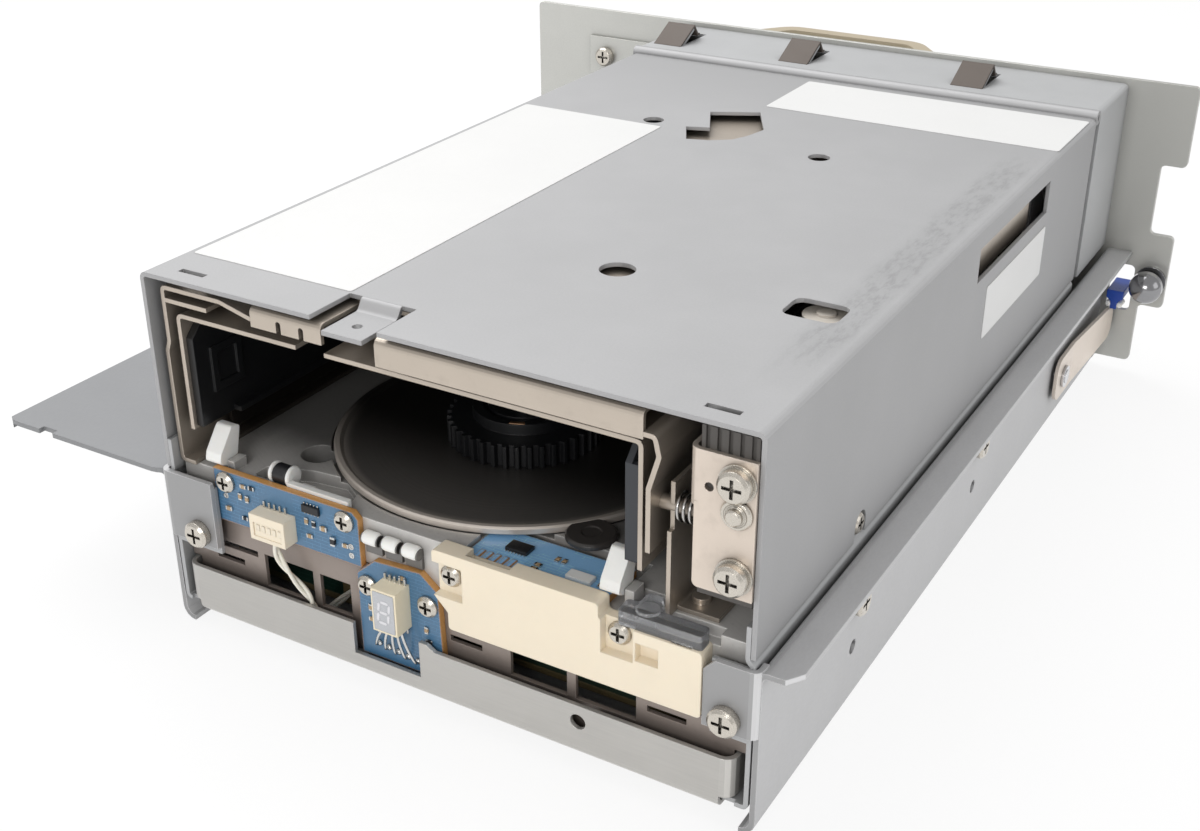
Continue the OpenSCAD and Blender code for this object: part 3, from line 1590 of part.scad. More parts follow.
module loader_slide() {
    root_x = rack_pitch_x + rack_shares[0][0] * module_size;
    tip_x = rack_pitch_x + rack_shares[1][0] * module_size;
    color([0.78, 0.77, 0.75]) place() union() {
        difference() {
            along_y(slide_y, slide_y + slide_len)
                sheet([[slide_x[0], down(slide_low)], [slide_x[0], down(slide_drop)],
                    [slide_x[1], down(slide_drop)], [slide_x[1], down(slide_low)]], slide_bend, -slide_t);
            block([slide_x[0] + slide_t, slide_x[1] - slide_t], [slide_y + tie_d, slide_y + slide_len + over],
                [down(slide_drop) - slide_bend - slide_t, down(slide_drop) + over]);
            for (y = lift_y)
                along_x(slide_x[0] - over, slide_x[1] + over)
                    polygon(box_points(y - lift_r - slide_gap, down(lift_drop + lift_travel) - lift_r - slide_gap,
                        y + lift_r + slide_gap, down(lift_drop) + lift_r + slide_gap));
        }
        block([slide_x[1], root_x], [rack_y0, rack_y1], [down(rack_drop + rack_h), down(rack_drop)]);
        along_z(down(rack_drop + rack_h), down(rack_drop))
            for (y = [first_tooth_y : tooth_pitch : rack_y1 - tooth_pitch / 2])
                polygon([[root_x - seat_gap, y - rack_shares[0][1] * module_size],
                    [root_x, y - rack_shares[0][1] * module_size], [tip_x, y - rack_shares[1][1] * module_size],
                    [tip_x, y + rack_shares[1][1] * module_size], [root_x, y + rack_shares[0][1] * module_size],
                    [root_x - seat_gap, y + rack_shares[0][1] * module_size]]);
    }
}

module cartridge_cage() {
    color([0.8, 0.76, 0.7]) place() union() {
        difference() {
            along_y(cage_y, cage_y + cage_d)
                sheet([[cage_x[0], down(cage_low)], [cage_x[0], down(cage_drop)], [cage_x[1], down(cage_drop)],
                    [cage_x[1], down(cage_low)]], cage_bend, -loader_t);
            block([cage_notch_x, cage_notch_x + cage_notch_w], [cage_y - over, cage_y + cage_notch_d],
                [down(cage_drop) - loader_t - over, down(cage_drop) + over]);
        }
        for (y = lift_y) {
            rod_x(lift_r, [cage_x[0] - lift_out, cage_x[0] + loader_t / 2], y, down(lift_drop));
            rod_x(lift_r, [cage_x[1] - loader_t / 2, cage_x[1] + lift_out], y, down(lift_drop));
        }
    }
}

// Plastic guides that the cartridge slides in
left_face = bay_x - cart_w / 2 - cart_gap - boss_frame_t;
right_face = bay_x + cart_w / 2 + cart_gap;

// Side outline of a guide, its front corners cut
function guide_outline() = [[guide_y, down(guide_low)], [guide_y + guide_len, down(guide_low)],
    [guide_y + guide_len, down(guide_drop)], [guide_y + guide_chamfer, down(guide_drop)],
    [guide_y, down(guide_drop) - guide_chamfer]];

module left_guide() {
    wall_x = cage_x[0] + loader_t;
    color([0.34, 0.35, 0.36]) place() union() {
        along_x(wall_x, left_face) polygon(guide_outline());
        block([left_face, left_face + rail_w - left_guide_t], [rail_y, guide_y + guide_len],
            [down(guide_low), down(guide_low) + rail_t]);
        along_x(left_face, left_face + boss_frame_t)
            difference() {
                polygon(box_points(boss_frame_y, down(boss_frame_drop + boss_frame_h),
                    boss_frame_y + boss_frame_w, down(boss_frame_drop)));
                polygon(box_points(boss_frame_y + boss_frame_rim,
                    down(boss_frame_drop + boss_frame_h) + boss_frame_rim,
                    boss_frame_y + boss_frame_w - boss_frame_rim, down(boss_frame_drop) - boss_frame_rim));
            }
    }
}

module right_guide() {
    wall_x = cage_x[1] - loader_t;
    rib_pitch = (guide_len - rib_w) / (rib_count - 1);
    color([0.34, 0.35, 0.36]) place() union() {
        along_x(right_face, right_face + right_guide_t) polygon(guide_outline());
        block([right_face - rail_w + right_guide_t, right_face], [rail_y, guide_y + guide_len],
            [down(guide_low), down(guide_low) + rail_t]);
        for (i = [0 : rib_count - 1])
            block([right_face, wall_x], [guide_y + i * rib_pitch, guide_y + i * rib_pitch + rib_w],
                [down(guide_low), down(guide_drop) - guide_chamfer]);
    }
}

// Loader drive: the motor's pinion turns the gear, which moves the slide's rack
gear_r = gear_teeth * module_size / 2;
pinion_r = pinion_teeth * module_size / 2;
pinion_y = gear_y + sqrt(pow(gear_r + pinion_r, 2) - pow(pinion_x - gear_x, 2));
pinion_dir = atan2(pinion_y - gear_y, pinion_x - gear_x);
// A tooth of the gear points at the rack, and a gap of the pinion takes the gear's nearest tooth
pinion_phase = pinion_dir + 180 - (180 - pinion_dir) * gear_teeth / pinion_teeth + 180 / pinion_teeth;

// Angle that an arc of a given length takes at a given radius
function arc_angle(length, r) = length / r * 180 / PI;
function tooth_point(r, share, side) =
    [r + share[0] * module_size, side * arc_angle(share[1] * module_size, r + share[0] * module_size)];
function gear_outline(count, phase) =
    let (r = count * module_size / 2,
         flank = [for (s = tooth_shares) tooth_point(r, s, -1)],
         tooth = concat(flank, [for (p = backwards(flank)) [p[0], -p[1]]]))
    [for (i = [0 : count - 1], p = tooth) polar(p[0], phase + i * 360 / count + p[1])];

module loader_gear() {
    color([0.88, 0.87, 0.84]) place() translate([gear_x, gear_y, 0]) difference() {
        union() {
            along_z(down(gear_drop + gear_h), down(gear_drop)) polygon(gear_outline(gear_teeth, 180));
            translate([0, 0, down(gear_drop) - over]) cylinder(h = gear_drop - gear_top + over, r = gear_hub_r);
            translate([0, 0, down(gear_top)]) cylinder(h = gear_nub_h, r = gear_nub_r + gear_nub_h);
        }
        translate([0, 0, down(gear_drop + gear_h) - over])
            cylinder(h = gear_drop + gear_h + over - gear_pin_top + run_gap, r = gear_pin_r + run_gap);
    }
}

module motor_pinion() {
    color([0.8, 0.68, 0.42]) place() translate([pinion_x, pinion_y, 0]) difference() {
        along_z(down(gear_drop + gear_h), down(gear_drop)) polygon(gear_outline(pinion_teeth, pinion_phase));
        translate([0, 0, down(gear_drop + gear_h) - over])
            cylinder(h = gear_h + 2 * over, r = motor_shaft_r + run_gap);
    }
}

module loader_motor() {
    color([0.66, 0.66, 0.67]) place() union() {
        rod_z(motor_r, pinion_x, pinion_y, [deck_z, down(motor_top)]);
        rod_z(motor_shaft_r, pinion_x, pinion_y, [down(motor_top), down(gear_drop) + shaft_over]);
    }
}

module lever(x) {
    outline = [for (p = lever_shares) [lever_y + p[0] * lever_l, lever_z + p[1] * lever_l]];
    color([0.95, 0.95, 0.94]) place() difference() {
        union() {
            along_x(x, x + lever_w) polygon(soft(outline, lever_round));
            rod_x(lever_pin_r + lever_round / 2, [x, x + lever_w], lever_y, lever_z);
        }
        rod_x(lever_pin_r + run_gap, [x - over, x + lever_w + over], lever_y, lever_z);
    }
}

module left_lever() {
    lever(lever_left_x);
}

module right_lever() {
    lever(lever_right_x);
}

// Guide block and the brace screwed to its front
block_right = half_w - cover_t - block_gap;
block_y = brace_y + brace_t;

module guide_block() {
    color([0.3, 0.3, 0.32]) place() difference() {
        union() {
            block([block_x, block_right], [block_y, block_y + block_d], [down(block_low), down(block_top)]);
            block([block_x, neck_x - cover_t - slide_gap], [block_leg_y, block_y + block_d],
                [deck_z, down(block_low) + over]);
        }
        for (i = [0 : groove_count - 1])
            block([block_x + block_groove_w + i * groove_pitch, block_x + 2 * block_groove_w + i * groove_pitch],
                [block_y - over, block_y + block_groove_d], [down(brace_top), down(block_top) + over]);
        for (drop = brace_screw_drops)
            rod_y(big_shank_r + run_gap, brace_screw_x, [block_y - over, block_y + big_shank_l], down(drop));
    }
}

module screw_bracket() {
    right = half_w - cover_t - neck_gap;
    low = down(brace_top + brace_h);
    top = down(brace_top);
    color([0.84, 0.79, 0.76]) place() union() {
        difference() {
            union() {
                along_z(top - brace_fold_h, top)
                    sheet([[right, brace_y], [brace_x, brace_y], [brace_x, brace_y + brace_fold_d]],
                        brace_bend, -brace_t);
                along_y(brace_y, brace_y + brace_t)
                    polygon(concat([[right, low], [right, top - brace_fold_h + over],
                        [brace_low_x, top - brace_fold_h + over]],
                        round_at([brace_low_x, top], [brace_low_x, low], [right, low], brace_round)));
            }
            for (drop = brace_screw_drops)
                rod_y(big_shank_r + run_gap, brace_screw_x, [brace_y - over, block_y + over], down(drop));
            rod_y(brace_hole_r, brace_hole_x, [brace_y - over, block_y + over], down(brace_hole_drop));
        }
        rod_y(stud_ring_r, brace_screw_x, [brace_y - stud_ring_t, brace_y], down(stud_drop));
        rod_y(stud_pin_r, brace_screw_x, [brace_y - stud_pin_h, brace_y], down(stud_drop));
    }
}

// Side bracket and the pin that the pressure spring sits on
module side_bracket() {
    color([0.84, 0.79, 0.73]) place() {
        difference() {
            along_y(side_y, side_y + side_d)
                sheet([[side_x, down(side_top)], [side_x, deck_z], [side_foot_x, deck_z]], side_bend, side_t);
            block([side_x - over, side_x + side_t + over], [side_y - over, side_y + side_step],
                [down(side_step_drop), down(side_top) + over]);
            block([side_x + side_t, side_foot_x + over], [side_y - over, side_foot_y],
                [deck_z - over, deck_z + side_t + side_bend]);
            rod_x(spring_pin_r + run_gap, [side_x - over, side_x + side_t + over], spring_y, down(spring_drop));
        }
        rod_x(spring_pin_r, [right_low_x + loader_t / 2, block_x], spring_y, down(spring_drop));
        rod_z(foot_stud_r, foot_stud_x, foot_stud_y, [deck_z + side_t, deck_z + side_t + foot_stud_h]);
    }
}

// Spring: one tube wound round the pin
curl_rings = 8;
tube_sides = 6;
spring_x0 = side_x + side_t + spring_wire_r + spring_rest;
spring_x1 = block_x - spring_wire_r - spring_rest;
function curl_angle(i) = 360 * i / curl_rings;
spring_path = [for (i = [0 : spring_curls * curl_rings])
    [spring_x0 + (spring_x1 - spring_x0) * i / (spring_curls * curl_rings),
     spring_y + spring_r * cos(curl_angle(i)), down(spring_drop) + spring_r * sin(curl_angle(i))]];
spring_room = min([for (i = [0 : len(spring_path) - 1], j = [i + curl_rings / 2 : 1 : len(spring_path) - 1])
    norm(spring_path[j] - spring_path[i])]) - 2 * spring_wire_r;
echo(least_gap_in_spring = spring_room);

// Direction of a path at point i
function along(path, i) = unit(path[min(i + 1, len(path) - 1)] - path[max(i - 1, 0)]);
// Ring of points square to a path, and a closed tube through such rings
function ring(p, dir, r, sides) =
    let (u = unit(cross(dir, abs(dir[0]) < 0.9 ? [1, 0, 0] : [0, 1, 0])),
         v = cross(dir, u))
    [for (k = [0 : sides - 1]) p + r * (u * cos(360 * k / sides) + v * sin(360 * k / sides))];
function tube_faces(rings, sides) = concat(
    [for (k = [1 : sides - 2]) [0, k, k + 1]],
    [for (i = [0 : rings - 2], k = [0 : sides - 1])
        each [[i * sides + k, (i + 1) * sides + k, i * sides + (k + 1) % sides],
              [i * sides + (k + 1) % sides, (i + 1) * sides + k, (i + 1) * sides + (k + 1) % sides]]],
    [for (k = [1 : sides - 2]) [(rings - 1) * sides, (rings - 1) * sides + k + 1, (rings - 1) * sides + k]]);

module tube(rings, sides) {
    polyhedron([for (r = rings) each r], tube_faces(len(rings), sides));
}

module pressure_spring() {
    rings = [for (i = [0 : len(spring_path) - 1])
        let (radial = [0, cos(curl_angle(i)), sin(curl_angle(i))],
             side = unit(cross(along(spring_path, i), radial)))
        [for (k = [0 : tube_sides - 1])
            spring_path[i] + spring_wire_r * (radial * cos(360 * k / tube_sides) + side * sin(360 * k / tube_sides))]];
    color([0.75, 0.76, 0.78]) place() tube(rings, tube_sides);
}

// Cream moulded bracket across the drive's front
module fb_outline() {
    chamfer = fb_left_cut;
    polygon(soft([[fb_x + chamfer, down(fb_low)], [fb_right, down(fb_low)], [fb_right, down(fb_step_top)],
        [fb_step_x, down(fb_step_top)], [fb_step_x, down(fb_top)], [fb_x, down(fb_top)],
        [fb_x, down(fb_left_low)], [fb_x + chamfer, down(fb_left_low + fb_left_cut_h / 2)]], fb_round));
}

module front_bracket() {
    pocket = [fb_y - over, fb_y + fb_pocket_deep];
    cavity = [fb_y + fb_wall, front_y + over];
    color([0.93, 0.89, 0.8]) place() difference() {
        along_y(fb_y, front_y) fb_outline();
        block([fb_shelf_x, fb_shelf_x + fb_shelf_w], [fb_y + fb_wall, front_y + over],
            [down(fb_top + fb_shelf_h), down(fb_top) + over]);
        block([fb_x - over, fb_x + fb_pocket_w], pocket, [down(fb_left_low), down(fb_left_low) + fb_pocket_h]);
        block([fb_step_x + fb_wall / 3, fb_step_x + fb_wall / 3 + fb_pocket_w], pocket,
            [down(fb_left_low), down(fb_step_top) + over]);
        block([fb_small_x, fb_small_x + fb_small_w], pocket,
            [down(fb_small_drop + fb_small_h), down(fb_small_drop)]);
        block([fb_slot_x, fb_slot_x + fb_slot_w], [fb_y + fb_slot_y, fb_y + fb_slot_y + fb_wall],
            [down(fb_step_top) - fb_slot_d, down(fb_step_top) + over]);
        block([fb_x + fb_pocket_w + fb_wall, fb_step_x - fb_wall], cavity,
            [down(fb_low) + fb_wall, down(fb_top + fb_shelf_h) - fb_wall]);
        block([fb_step_x + fb_wall, fb_right - fb_wall], cavity,
            [down(fb_low) + fb_wall, down(fb_left_low) - fb_wall]);
        for (x = [fb_x + fb_screw_in, fb_screw_right])
            rod_y(small_shank_r + run_gap, x, [fb_y - over, front_y + over], down(fb_screw_drop));
    }
}

module light_guide() {
    color([0.7, 0.72, 0.74, 0.6]) place() union() {
        along_z(down(fb_step_top), down(lg_top))
            polygon(soft(placed(lg_shares, lg_x, lg_y, lg_w, lg_d), lg_round));
        rod_z(lg_boss_r, lg_boss_x, lg_boss_y, [down(lg_top), down(lg_top) + lg_boss_h]);
    }
}

// Boards
module memory_board() {
    x = recess_x + mb_gap;
    y = front_y + recess_gap;
    z = recess_z + board_t;
    color([0.15, 0.35, 0.45]) place() union() {
        block([x, x + mb_w], [y, y + mb_d], [recess_z, z]);
        block([mb_chip_x, mb_chip_x + mb_chip_w], [mb_chip_y, mb_chip_y + mb_chip_d], [z, z + mb_chip_h]);
        for (i = [0 : contact_count - 1])
            block([contact_x + i * contact_pitch, contact_x + i * contact_pitch + contact_w],
                [y, y + contact_d], [z, z + contact_h]);
    }
}

module sensor_board() {
    color([0.18, 0.4, 0.52]) place() difference() {
        along_y(front_y - board_t, front_y)
            polygon([[sb_x, down(sb_top + sensor_h)], [sb_x + sensor_w, down(sb_top + sensor_h)],
                [sb_x + sensor_w, down(sb_top) - sb_chamfer], [sb_x + sensor_w - sb_chamfer, down(sb_top)],
                [sb_x, down(sb_top)]]);
        for (x = [sb_x + sb_screw_in, sb_x + sensor_w - sb_screw_in])
            rod_y(small_shank_r + run_gap, x, [front_y - board_t - over, front_y + over], down(sb_screw_drop));
    }
}

module board_connector() {
    face = front_y - board_t;
    color([0.93, 0.92, 0.88]) place() difference() {
        block([conn_x, conn_x + conn_w], [face - conn_d, face], [down(conn_drop + conn_h), down(conn_drop)]);
        block([conn_x + conn_wall, conn_x + conn_w - conn_wall], [face - conn_d - over, face - conn_wall],
            [down(conn_drop + conn_h) + conn_wall, down(conn_drop + conn_h) + conn_wall + conn_mouth_h]);
    }
}

module sensor_cable() {
    color([0.9, 0.89, 0.85]) place()
        tube([for (i = [0 : len(cable_points) - 1])
            ring(cable_points[i], i == 0 ? [0, 0, -1] : i == len(cable_points) - 1 ? [0, 1, 0]
                : along(cable_points, i), cable_r, cable_sides)], cable_sides);
}

module display_board() {
    right = db_x + display_w;
    color([0.18, 0.38, 0.5]) place() difference() {
        along_y(front_y - board_t, front_y)
            polygon([[db_x, down(db_low)], [right, down(db_low)], [right - db_lean / 2, down(db_top + db_right_cut_h)],
                [right - db_right_cut, down(db_top)], [db_x + db_left_cut, down(db_top) - db_lean / 2],
                [db_x, down(db_top + db_left_cut_h)]]);
        for (x = [db_x + db_screw_left, right - db_screw_right])
            rod_y(small_shank_r + run_gap, x, [front_y - board_t - over, front_y + over], down(db_screw_drop));
    }
}

module digit_block() {
    face = front_y - board_t;
    pin_pitch = digit_w / digit_pins;
    color([0.93, 0.91, 0.84]) place() union() {
        block([digit_x, digit_x + digit_w], [face - digit_d, face], [down(digit_drop + digit_h), down(digit_drop)]);
        for (i = [0 : digit_pins - 1])
            rod_z(digit_pin_r, digit_x + (i + 1 / 2) * pin_pitch, face - digit_pin_y,
                [down(digit_drop + digit_h) - digit_pin_out, down(digit_drop) + digit_pin_out]);
    }
}

// Three spring contacts with round pads on top
module contact_fingers() {
    color([0.6, 0.6, 0.6]) place()
        for (i = [0 : cf_count - 1]) {
            x = cf_x + i * cf_pitch;
            block([x, x + cf_w], [front_y - cf_t, front_y], [down(cf_low), down(cf_top)]);
            rod_x(cf_pad_r, [x, x + cf_w], front_y - cf_pad_r, down(cf_top));
        }
}

module main_board() {
    board_z = down(main_drop);
    color([0.16, 0.34, 0.24]) place() union() {
        block([-main_x, main_x], [main_y, main_y + main_d], [board_z - board_t, board_z]);
        for (x = [-standoff_x, standoff_x], y = [main_y + 2 * standoff_r, main_y + main_d - 2 * standoff_r])
            rod_z(standoff_r, x, y, [floor_z, board_z]);
        for (y = chip_y)
            block([chip_x, chip_x + chip_size], [y, y + chip_size], [board_z, board_z + chip_h]);
        block([sink_x, sink_x + sink_w], [sink_y, sink_y + sink_d], [board_z, board_z + sink_base_t]);
        for (i = [0 : sink_fins - 1])
            block([sink_x + i * (sink_w - sink_fin_t) / (sink_fins - 1),
                sink_x + i * (sink_w - sink_fin_t) / (sink_fins - 1) + sink_fin_t],
                [sink_y, sink_y + sink_d], [board_z, board_z + sink_h]);
        block([cable_end[0] - header_w / 2, cable_end[0] + header_w / 2], [header_y, header_y + header_d],
            [board_z, board_z + header_h]);
    }
}

// Screws
module large_screws() {
    color([0.78, 0.76, 0.68]) place() {
        for (drop = brace_screw_drops)
            translate([brace_screw_x, brace_y, down(drop)]) rotate([90, 0, 0]) big_screw(washer_t);
        for (x = [half_w - ear_screw_in, left_ear_screw_in - half_w])
            translate([x, -sled_t, down(ear_screw_drop)]) rotate([90, 0, 0]) big_screw();
        for (y = side_ys) {
            translate([wall_out, y, side_screw_z]) rotate([0, 90, 0]) big_screw();
            translate([-wall_out, y, side_screw_z]) rotate([0, -90, 0]) big_screw();
        }
        translate([brk_screw_x, plate_y - brk_t, brk_screw_z]) rotate([90, 0, 0]) big_screw();
    }
}

module small_screws() {
    face = front_y - board_t;
    color([0.8, 0.79, 0.74]) place() {
        for (x = [sb_x + sb_screw_in, sb_x + sensor_w - sb_screw_in])
            translate([x, face, down(sb_screw_drop)]) rotate([90, 0, 0]) small_screw();
        for (x = [db_x + db_screw_left, db_x + display_w - db_screw_right])
            translate([x, face, down(db_screw_drop)]) rotate([90, 0, 0]) small_screw();
        for (x = [fb_x + fb_screw_in, fb_screw_right])
            translate([x, fb_y + fb_pocket_deep, down(fb_screw_drop)]) rotate([90, 0, 0]) small_screw();
        translate([neck_x, cover_screw_y, down(cover_screw_drop)]) rotate([0, 90, 0]) small_screw();
    }
}

sled_tray();
left_wing();
front_lip();
back_plate();
plate_bracket();
guide_pin();
rivets();
latch_lever();
latch_tab();
rear_hood();
rear_handle();
port_block();
fan_housing();
fan_rotor();
base_frame();
top_cover();
front_plate();
deck_casting();
reel_disc();
chuck_ring();
reel_rotor();
reel_motors();
takeup_reel();
guide_posts();
roller(0);  // roller_1
roller(1);  // roller_2
roller(2);  // roller_3
roller(3);  // roller_4
head_base();
head_block();
threader_plate();
threader_arm();
loader_top();
loader_left_wall();
loader_right_wall();
loader_slide();
cartridge_cage();
left_guide();
right_guide();
loader_gear();
motor_pinion();
loader_motor();
left_lever();
right_lever();
guide_block();
screw_bracket();
side_bracket();
pressure_spring();
front_bracket();
light_guide();
memory_board();
sensor_board();
board_connector();
sensor_cable();
display_board();
digit_block();
contact_fingers();
main_board();
large_screws();
small_screws();
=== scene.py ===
import math

import bmesh
import bpy
from mathutils import Matrix, Vector


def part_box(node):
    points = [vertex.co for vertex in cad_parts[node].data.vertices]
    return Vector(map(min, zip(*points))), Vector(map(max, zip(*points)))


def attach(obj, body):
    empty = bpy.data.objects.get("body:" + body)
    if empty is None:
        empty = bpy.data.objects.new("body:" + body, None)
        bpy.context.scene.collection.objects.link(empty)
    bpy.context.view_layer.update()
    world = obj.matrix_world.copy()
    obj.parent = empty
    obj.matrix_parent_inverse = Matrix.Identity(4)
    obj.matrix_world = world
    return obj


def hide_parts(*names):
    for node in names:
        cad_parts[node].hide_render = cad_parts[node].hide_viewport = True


bl_info = {
    "name": "Tape Library Drive",
    "version": (1, 0, 0),
    "blender": (4, 5, 0),
    "location": "View3D > Sidebar > Tape Drive",
    "description": "Finishes, small parts and studio for a tape drive on its sled",
    "category": "Object",
}

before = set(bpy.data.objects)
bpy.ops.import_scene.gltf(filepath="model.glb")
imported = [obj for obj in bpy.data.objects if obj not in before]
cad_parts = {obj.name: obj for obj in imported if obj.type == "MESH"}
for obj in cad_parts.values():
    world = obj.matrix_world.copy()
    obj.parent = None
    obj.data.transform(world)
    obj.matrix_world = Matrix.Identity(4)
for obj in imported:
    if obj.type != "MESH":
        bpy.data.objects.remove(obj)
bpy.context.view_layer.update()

# Lengths are in millimetres, except for the next three and where a comment says metres.
# Places are given from the middle of the drive's front edge and down from its top cover.
FRONT_EDGE = -0.1245
TOP_COVER = 0.0885
MM = 0.001
# Depths of the display block's ends
DIGIT_TOP = 58.0
DIGIT_BOTTOM = 68.6
# Place of the upright boards' faces, behind the front edge
BOARD_FACE = 1.4
# Depth of the deck's top
DECK_DEPTH = 46.0
# Centre of the reel and its disc, from the sled's base centre
HUB_CENTRE = (-10.3, -73.0, 0.0)
# Radii of the copper contacts in the hub, where they are round it and their half angle
HUB_IN = 10.4
HUB_OUT = 11.6
HUB_TURNS = (-1.15, 0.95, 3.04)
HUB_HALF_ANGLE = 0.16


def at(x, y, depth):
    """A point in metres from a place in millimetres: right, back and down from the cover's front edge."""
    return Vector((x * MM, FRONT_EDGE + y * MM, TOP_COVER - depth * MM))


def on_front(face_y):
    """Placing on a face towards the front: right, depth and height from the face."""
    return lambda a, b, h: at(a, face_y - h, b)


def on_top(face_depth):
    """Placing on a face that looks up: right, back and height from the face."""
    return lambda a, b, h: at(a, b, face_depth - h)


def span(node):
    """A part's box in millimetres: left, right, front, back, top and bottom."""
    low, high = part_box(node)
    return (low.x / MM, high.x / MM, (low.y - FRONT_EDGE) / MM, (high.y - FRONT_EDGE) / MM,
            (TOP_COVER - high.z) / MM, (TOP_COVER - low.z) / MM)


def ink(red, green, blue):
    """Linear colour of a paint given in the usual 0 to 255 numbers."""
    def linear(value):
        share = value / 255
        return share / 12.92 if share <= 0.04045 else ((share + 0.055) / 1.055) ** 2.4
    return (linear(red), linear(green), linear(blue), 1.0)


def shade(colour, share):
    """A colour made darker or lighter by a share."""
    return tuple(min(1.0, part * share) for part in colour[:3]) + (1.0,)


class Term:
    """A number socket of a finish that takes part in Python sums."""

    def __init__(self, finish, socket):
        self.finish = finish
        self.socket = socket

    def __add__(self, other):
        return self.finish.sum("ADD", self, other)

    def __sub__(self, other):
        return self.finish.sum("SUBTRACT", self, other)

    def __rsub__(self, other):
        return self.finish.sum("SUBTRACT", other, self)

    def __mul__(self, other):
        return self.finish.sum("MULTIPLY", self, other)

    __radd__ = __add__
    __rmul__ = __mul__


def feed(tree, socket, value):
    """Links a socket to a pattern, or gives it a constant."""
    if isinstance(value, Term):
        value = value.socket
    if isinstance(value, bpy.types.NodeSocket):
        tree.links.new(value, socket)
    else:
        socket.default_value = value


def add_node(tree, kind, settings=None, values=None):
    """A node of a kind, its settings made first, then the values or links of its sockets."""
    made_node = tree.nodes.new(kind)
    for key, value in (settings or {}).items():
        setattr(made_node, key, value)
    for key, value in (values or {}).items():
        feed(tree, made_node.inputs[key], value)
    return made_node


class Finish:
    """A material under construction. Its places are in millimetres from the sled's base centre."""

    def __init__(self, name, **constants):
        self.material = bpy.data.materials.new(name)
        self.material.use_nodes = True
        self.tree = self.material.node_tree
        self.tree.nodes.clear()
        self.shader = self.node("ShaderNodeBsdfPrincipled", {}, constants)
        self.out = self.node("ShaderNodeOutputMaterial", {}, {"Surface": self.shader.outputs[0]})
        self.coords = self.node("ShaderNodeTexCoord")
        millimetres = (1.0 / MM, 1.0 / MM, 1.0 / MM)
        self.place = self.vector("MULTIPLY", self.coords.outputs["Object"], millimetres)[0]
        self.normal = None

    def node(self, kind, settings=None, values=None):
        """A node of this finish."""
        return add_node(self.tree, kind, settings, values)

    def term(self, kind, settings, values, output=0):
        """The number that a new node gives."""
        return Term(self, self.node(kind, settings, values).outputs[output])

    def vector(self, operation, first, second=(0, 0, 0)):
        """The outputs of one operation of the Vector Math node."""
        return self.node("ShaderNodeVectorMath", {"operation": operation}, {0: first, 1: second}).outputs

    def sum(self, operation, first, second):
        """One operation of the Math node on two numbers."""
        return self.term("ShaderNodeMath", {"operation": operation}, {0: first, 1: second})

    def axis(self, index):
        """One coordinate of the place, in millimetres."""
        return self.term("ShaderNodeSeparateXYZ", {}, {0: self.place}, index)

    def facing(self, index):
        """How squarely the surface faces along one axis, from 0 to 1."""
        lean = self.term("ShaderNodeSeparateXYZ", {}, {0: self.coords.outputs["Normal"]}, index)
        return self.sum("ABSOLUTE", lean, 0.0)

    def bend(self):
        """How far the surface leans between two axes: 0 on flat faces, 1 on rounded bends."""
        x, y, z = (self.facing(index) for index in range(3))
        return self.between(x * y + y * z + x * z, 0.12, 0.42)

    def open_air(self, reach):
        """0 in narrow gaps, 1 where nothing is near within a reach in millimetres: the mask for painted shade
        in gaps.
        """
        return self.term("ShaderNodeAmbientOcclusion", {"samples": 4}, {"Distance": reach * MM}, "AO")

    def between(self, value, low, high):
        """0 at or below low, 1 at or above high, with a smooth step between."""
        values = {0: value, 1: low, 2: high, 3: 0.0, 4: 1.0}
        return self.term("ShaderNodeMapRange", {"interpolation_type": "SMOOTHSTEP"}, values)

    def patch(self, index, start, full, fade, end):
        """1 from full to fade along one axis, falling to 0 at start and at end."""
        place = self.axis(index)
        return self.between(place, start, full) * (1 - self.between(place, fade, end))

    def stretched(self, stretch, turn=0.0):
        """The place with its axes scaled, for grain that runs one way."""
        turned = self.place
        if turn:
            values = {"Vector": self.place, "Angle": turn}
            turned = self.node("ShaderNodeVectorRotate", {"rotation_type": "Z_AXIS"}, values).outputs[0]
        return self.vector("MULTIPLY", turned, stretch)[0]

    def noise(self, size, detail=2.0, roughness=0.5, stretch=(1, 1, 1), turn=0.0):
        """Smooth noise whose patches are about size millimetres across."""
        place = self.stretched(stretch, turn)
        values = {"Vector": place, "Scale": 1.0 / size, "Detail": detail, "Roughness": roughness}
        return self.term("ShaderNodeTexNoise", {}, values)

    def cells(self, size, feature="F1", output="Distance", stretch=(1, 1, 1)):
        """Cells about size millimetres across."""
        values = {"Vector": self.stretched(stretch), "Scale": 1.0 / size}
        return self.term("ShaderNodeTexVoronoi", {"feature": feature}, values, output)

    def mix(self, factor, low, high):
        """A colour between two, by a number."""
        return self.node("ShaderNodeMix", {"data_type": "RGBA"}, {0: factor, 6: low, 7: high}).outputs[2]

    def soften(self, radius):
        """Rounds the sharp edges by a radius in millimetres, and gives how near an edge each point is."""
        bevel = self.node("ShaderNodeBevel", {"samples": 4}, {"Radius": radius * MM})
        face = self.node("ShaderNodeNewGeometry").outputs["Normal"]
        self.normal = bevel.outputs[0]
        flatness = Term(self, self.vector("DOT_PRODUCT", self.normal, face)["Value"])
        return self.between(1.0 - flatness, 0.015, 0.16)

    def relief(self, height, depth, strength=1.0):
        """Raises the surface by a height pattern, depth millimetres tall."""
        values = {"Height": height, "Distance": depth * MM, "Strength": strength}
        if self.normal is not None:
            values["Normal"] = self.normal
        self.normal = self.node("ShaderNodeBump", {}, values).outputs[0]

    def done(self, colour, roughness, **others):
        """Links the patterns to the shader and gives the material."""
        for name, value in (("Base Color", colour), ("Roughness", roughness), *others.items()):
            feed(self.tree, self.shader.inputs[name], value)
        if self.normal is not None:
            feed(self.tree, self.shader.inputs["Normal"], self.normal)
        return self.material


